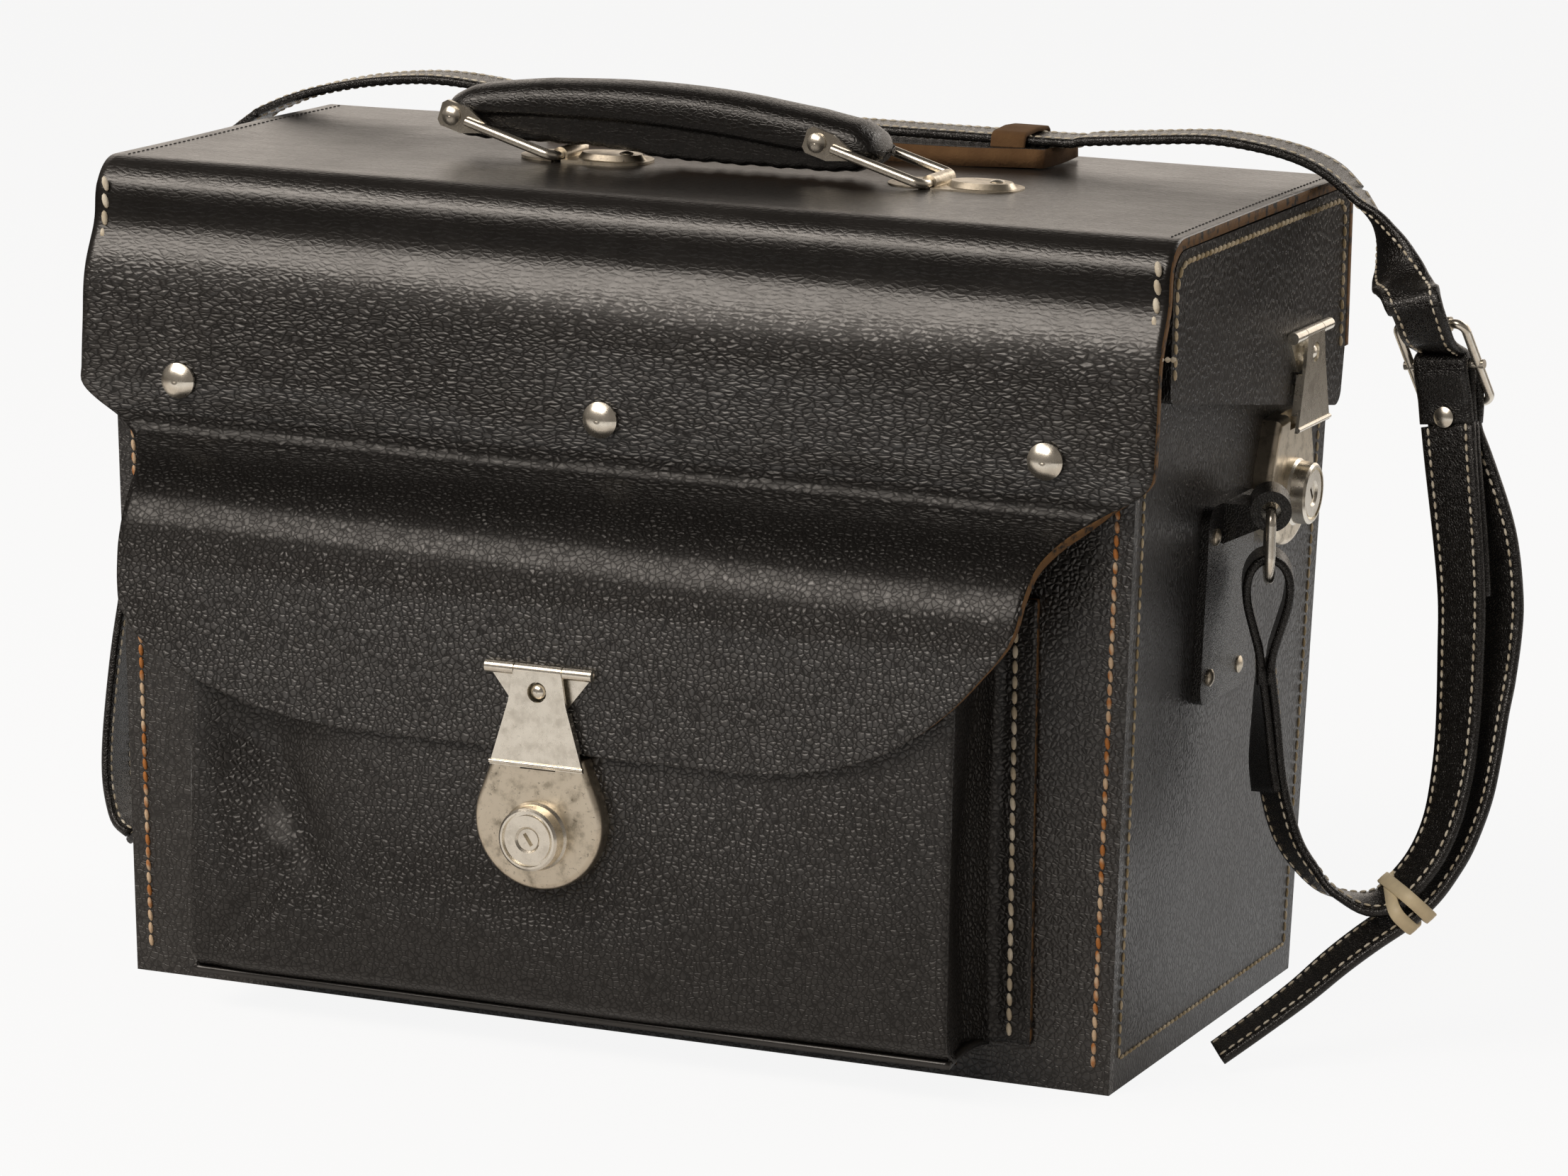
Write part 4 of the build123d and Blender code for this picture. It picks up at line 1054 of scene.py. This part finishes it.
for side, name in ((1, "right"), (-1, "left")):
    end = (side, 0, 0)
    row = [(side * HALF, y, z) for y, z in LID_ROW]
    make = {"pitch": 4.3, "length": 3.9, "thick": 0.95, "slant": 14}
    stitches(f"{name}_lid_stitches", row, end, CREAM, "lid", **make)
    heights = np.linspace(284, 254, 12)
    row = [(side * (HALF - 4.0), -97.6 - 2.2 * ease(273 - z, 0, 14), z) for z in heights]
    make = {"pitch": 6.4, "length": 5.4, "thick": 1.3, "slant": 12}
    stitches(f"{name}_corner_lacing", row, (0, -1, 0.1), WHITE, "lid", **make)
    row = [(side * (HALF - 5.5), -103.8, 252), (side * (HALF + 0.3), -101.6, 252)]
    make = {"pitch": 5.8, "length": 6.4, "thick": 1.3, "slant": 0}
    stitches(f"{name}_corner_tack", row, (side * 0.2, -1, 0), WHITE, "lid", **make)
    row = [(side * (HALF + 0.3), -101.6, 252), (side * (HALF + 0.3), -91, 250.5)]
    make = {"pitch": 4.8, "length": 4.4, "thick": 1.0, "slant": 0}
    stitches(f"{name}_corner_lap", row, end, WHITE, "lid", **make)
    row = [(side * (case_side(z) - 6.0), case_front(z), z) for z in np.linspace(206, 9, 80)]
    make = {"pitch": 4.6, "length": 4.2, "thick": 0.95, "slant": 7}
    stitches(f"{name}_front_corner_stitches", row, (0, -1, 0), RUST, "case", **make)
    row = [(side * case_side(z), case_front(z) + 8.0, z) for z in np.linspace(228, 11, 80)]
    stitches(f"{name}_side_front_stitches", row, end, CREAM, "case", **SEAM)
    row = [(side * case_side(11), y, 11) for y in np.linspace(-85, 86, 60)]
    stitches(f"{name}_side_low_stitches", row, end, CREAM, "case", **SEAM)
    row = [(side * case_side(z), -case_front(z) - 8.0, z) for z in np.linspace(11, 202, 80)]
    stitches(f"{name}_side_back_stitches", row, end, CREAM, "case", **SEAM)
    row = [(side * 148.5, case_front(z) - 2.6, z) for z in np.linspace(168, 17, 60)]
    make = {"pitch": 5.2, "length": 4.7, "thick": 1.05, "slant": 4}
    stitches(f"{name}_pocket_stitches", row, (0, -1, 0), WHITE, "case", **make)
    x = side * TOP_EDGE
    row = [(x, y, LID_TOP + lid_sway(x, y)) for y in np.linspace(-84, 82, 60)]
    make = {"pitch": 3.4, "length": 2.6, "thick": 0.45}
    stitches(f"{name}_top_stitches", row, (0, 0, 1), BLACK, "lid", **make)
print("stitched")

# %% [markdown]
# ## The rubber band
# Two turns of a flat rubber band, slightly crossed, hold the tail against the short strap.

# %%
BAND_AT = Vector((258.6, -11.9, 57.75))
BAND_ALONG = Vector((0.66, 0.24, 0.71)).normalized()
BAND_SIDE = Vector((-math.sin(math.radians(46)), math.cos(math.radians(46)), 0))
BAND_SIDE = (BAND_SIDE - BAND_ALONG * BAND_SIDE.dot(BAND_ALONG)).normalized()
BAND_OUT = BAND_ALONG.cross(BAND_SIDE)


def band_turn(name, lean, offset, grow):
    """One turn of the band round both straps, a rounded oblong that leans a little."""
    path = []
    for angle in np.linspace(0, 2 * math.pi, 49):
        a = math.copysign(abs(math.cos(angle)) ** 0.45, math.cos(angle)) * (11.6 + grow)
        b = math.copysign(abs(math.sin(angle)) ** 0.6, math.sin(angle)) * (6.4 + grow)
        spot = BAND_AT + BAND_SIDE * a + BAND_OUT * b + BAND_ALONG * (offset + lean * a / 11)
        path.append(tuple(spot))
    right = [(2.4, 0), (2.2, 0.5), (0, 0.62), (-2.2, 0.5)]
    flat = right + [(-a, -b) for a, b in right]
    sides = [tuple(BAND_ALONG)] * len(path)
    piece = band(name, path, sides, lambda share: flat, [RUBBER], "case", ends=False)
    return piece


first_turn = band_turn("rubber_band_first_turn", 2.6, -1.0, 0.0)
band_turn("rubber_band_second_turn", -2.2, 1.2, 0.9)
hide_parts("rubber_band")
print("rubber band made")

# %% [markdown]
# ## Camera, light and floor
# The camera stands to the right of the front and a little above the lid, with a long lens. Its
# place was solved from the case's own corners in the photograph.

# %%
camera = bpy.data.objects.new("camera", bpy.data.cameras.new("camera"))
bpy.context.scene.collection.objects.link(camera)
bpy.context.scene.camera = camera
PHOTO_WIDTH = 2212
FOCAL_PIXELS = 9445.3
CAMERA_AT = (0.91234, -2.13067, 0.61244)
SENSOR_WIDTH = 36.0
YAW, PITCH, ROLL = (math.radians(a) for a in (22.65, 11.54, -1.09))
flat_ahead = Vector((-math.sin(YAW), math.cos(YAW), 0))
ahead = flat_ahead * math.cos(PITCH) - Vector((0, 0, math.sin(PITCH)))
level = Vector((math.cos(YAW), math.sin(YAW), 0))
down = ahead.cross(level)
right = level * math.cos(ROLL) + down * math.sin(ROLL)
down = down * math.cos(ROLL) - level * math.sin(ROLL)
aim = Matrix((right, -down, -ahead)).transposed().to_4x4()
camera.matrix_world = Matrix.Translation(CAMERA_AT) @ aim
camera.data.sensor_width = SENSOR_WIDTH
camera.data.sensor_fit = "HORIZONTAL"
camera.data.lens = FOCAL_PIXELS / PHOTO_WIDTH * SENSOR_WIDTH
camera.data.clip_end = 20.0


def softbox(name, at, target, width, height, power, tint=(1, 1, 1)):
    light = bpy.data.lights.new(name, "AREA")
    light.shape = "RECTANGLE"
    light.size = width
    light.size_y = height
    light.energy = power
    light.color = tint
    lamp = bpy.data.objects.new(name, light)
    bpy.context.scene.collection.objects.link(lamp)
    lamp.location = at
    lamp.rotation_euler = (Vector(target) - Vector(at)).to_track_quat("-Z", "Y").to_euler()


softbox("key_light", (-0.75, -1.55, 1.75), (0, -0.1, 0.2), 2.5, 0.95, 40, (1.0, 0.91, 0.82))
softbox("back_light", (0.9, 1.6, 1.5), (0, 0.1, 0.15), 1.4, 0.7, 9, (1.0, 0.94, 0.88))


def world_light():
    """White where the camera looks past the case; for light, a pale room open at the back."""
    world = bpy.data.worlds.new("world")
    bpy.context.scene.world = world
    world.use_nodes = True
    tree = world.node_tree
    background = tree.nodes["Background"]
    path = tree.nodes.new("ShaderNodeLightPath")
    spot = tree.nodes.new("ShaderNodeTexCoord")
    parts = tree.nodes.new("ShaderNodeSeparateXYZ")
    tree.links.new(spot.outputs["Generated"], parts.inputs["Vector"])

    def ramp(axis, low, high, start, end):
        made = tree.nodes.new("ShaderNodeMapRange")
        made.interpolation_type = "SMOOTHSTEP"
        for key, value in (("From Min", low), ("From Max", high), ("To Min", start), ("To Max", end)):
            made.inputs[key].default_value = value
        tree.links.new(parts.outputs[axis], made.inputs["Value"])
        return made.outputs["Result"]

    def mixed(operation, a, b):
        made = tree.nodes.new("ShaderNodeMath")
        made.operation = operation
        tree.links.new(a, made.inputs[0])
        tree.links.new(b, made.inputs[1])
        return made.outputs["Value"]

    behind = ramp("Y", 0.15, 0.75, 0.0, 1.0)
    low = ramp("Z", 0.25, 0.6, 1.0, 0.0)
    room = mixed("MULTIPLY", behind, low)
    walls = ramp("Z", 0.35, 0.8, 0.17, 0.06)
    room = mixed("ADD", room, walls)
    tint = tree.nodes.new("ShaderNodeMix")
    tint.data_type = "RGBA"
    tint.inputs["Factor"].default_value = 1.0
    tint.blend_type = "MULTIPLY"
    tree.links.new(room, tint.inputs[6])
    tint.inputs[7].default_value = (1.0, 0.90, 0.80, 1.0)
    seen = tree.nodes.new("ShaderNodeMix")
    seen.data_type = "RGBA"
    tree.links.new(path.outputs["Is Camera Ray"], seen.inputs["Factor"])
    tree.links.new(tint.outputs[2], seen.inputs[6])
    seen.inputs[7].default_value = (1, 1, 1, 1)
    tree.links.new(seen.outputs[2], background.inputs["Color"])
    background.inputs["Strength"].default_value = 1.0


def floor_material():
    """White to the camera. For reflections it is painted: it glows, dims far away, and darkens just in
    front of the case as the case's painted shadow.
    """
    graph = Graph("white_floor")
    path = graph.tree.nodes.new("ShaderNodeLightPath")
    seen = Value(graph, path.outputs["Is Camera Ray"])
    spot = graph.node("ShaderNodeTexCoord", output="Object")
    depth = graph.node("ShaderNodeSeparateXYZ", inputs={"Vector": spot}, output=1)
    away = graph.node("ShaderNodeVectorMath", {"operation": "LENGTH"}, {0: spot}, output=1)
    near = 1.0 - away.step(0.85, 1.3)
    # The case's painted shadow in the floor's reflections, just in front of it.
    painted_case_shadow = depth.step(-0.62, -0.28) * (1.0 - depth.step(-0.10, 0.10))
    base = graph.blend(near, (0.10, 0.09, 0.08, 1.0), (0.74, 0.69, 0.63, 1.0))
    base = graph.blend(seen, base, (0.9, 0.9, 0.9, 1.0))
    graph.finish(Base_Color=base, Roughness=0.9, Specular_IOR_Level=0.2)
    glow = graph.tree.nodes.new("ShaderNodeEmission")
    glow.inputs["Color"].default_value = (1, 1, 1, 1)
    mirrored = Value(graph, path.outputs["Is Glossy Ray"])
    # Glossy rays see a painted glow, faded far away and darkened by the painted shadow.
    glowing = seen * 0.90 + mirrored * near * (1.0 - painted_case_shadow * 0.7) * 0.62
    return graph.surface(glowing, graph.shader.outputs["BSDF"], glow.outputs["Emission"])


world_light()
floor_form = bmesh.new()
bmesh.ops.create_grid(floor_form, x_segments=1, y_segments=1, size=6.0)
floor = finished("floor", floor_form, [floor_material()])
bpy.context.scene.view_settings.view_transform = "Standard"
print("stage set")
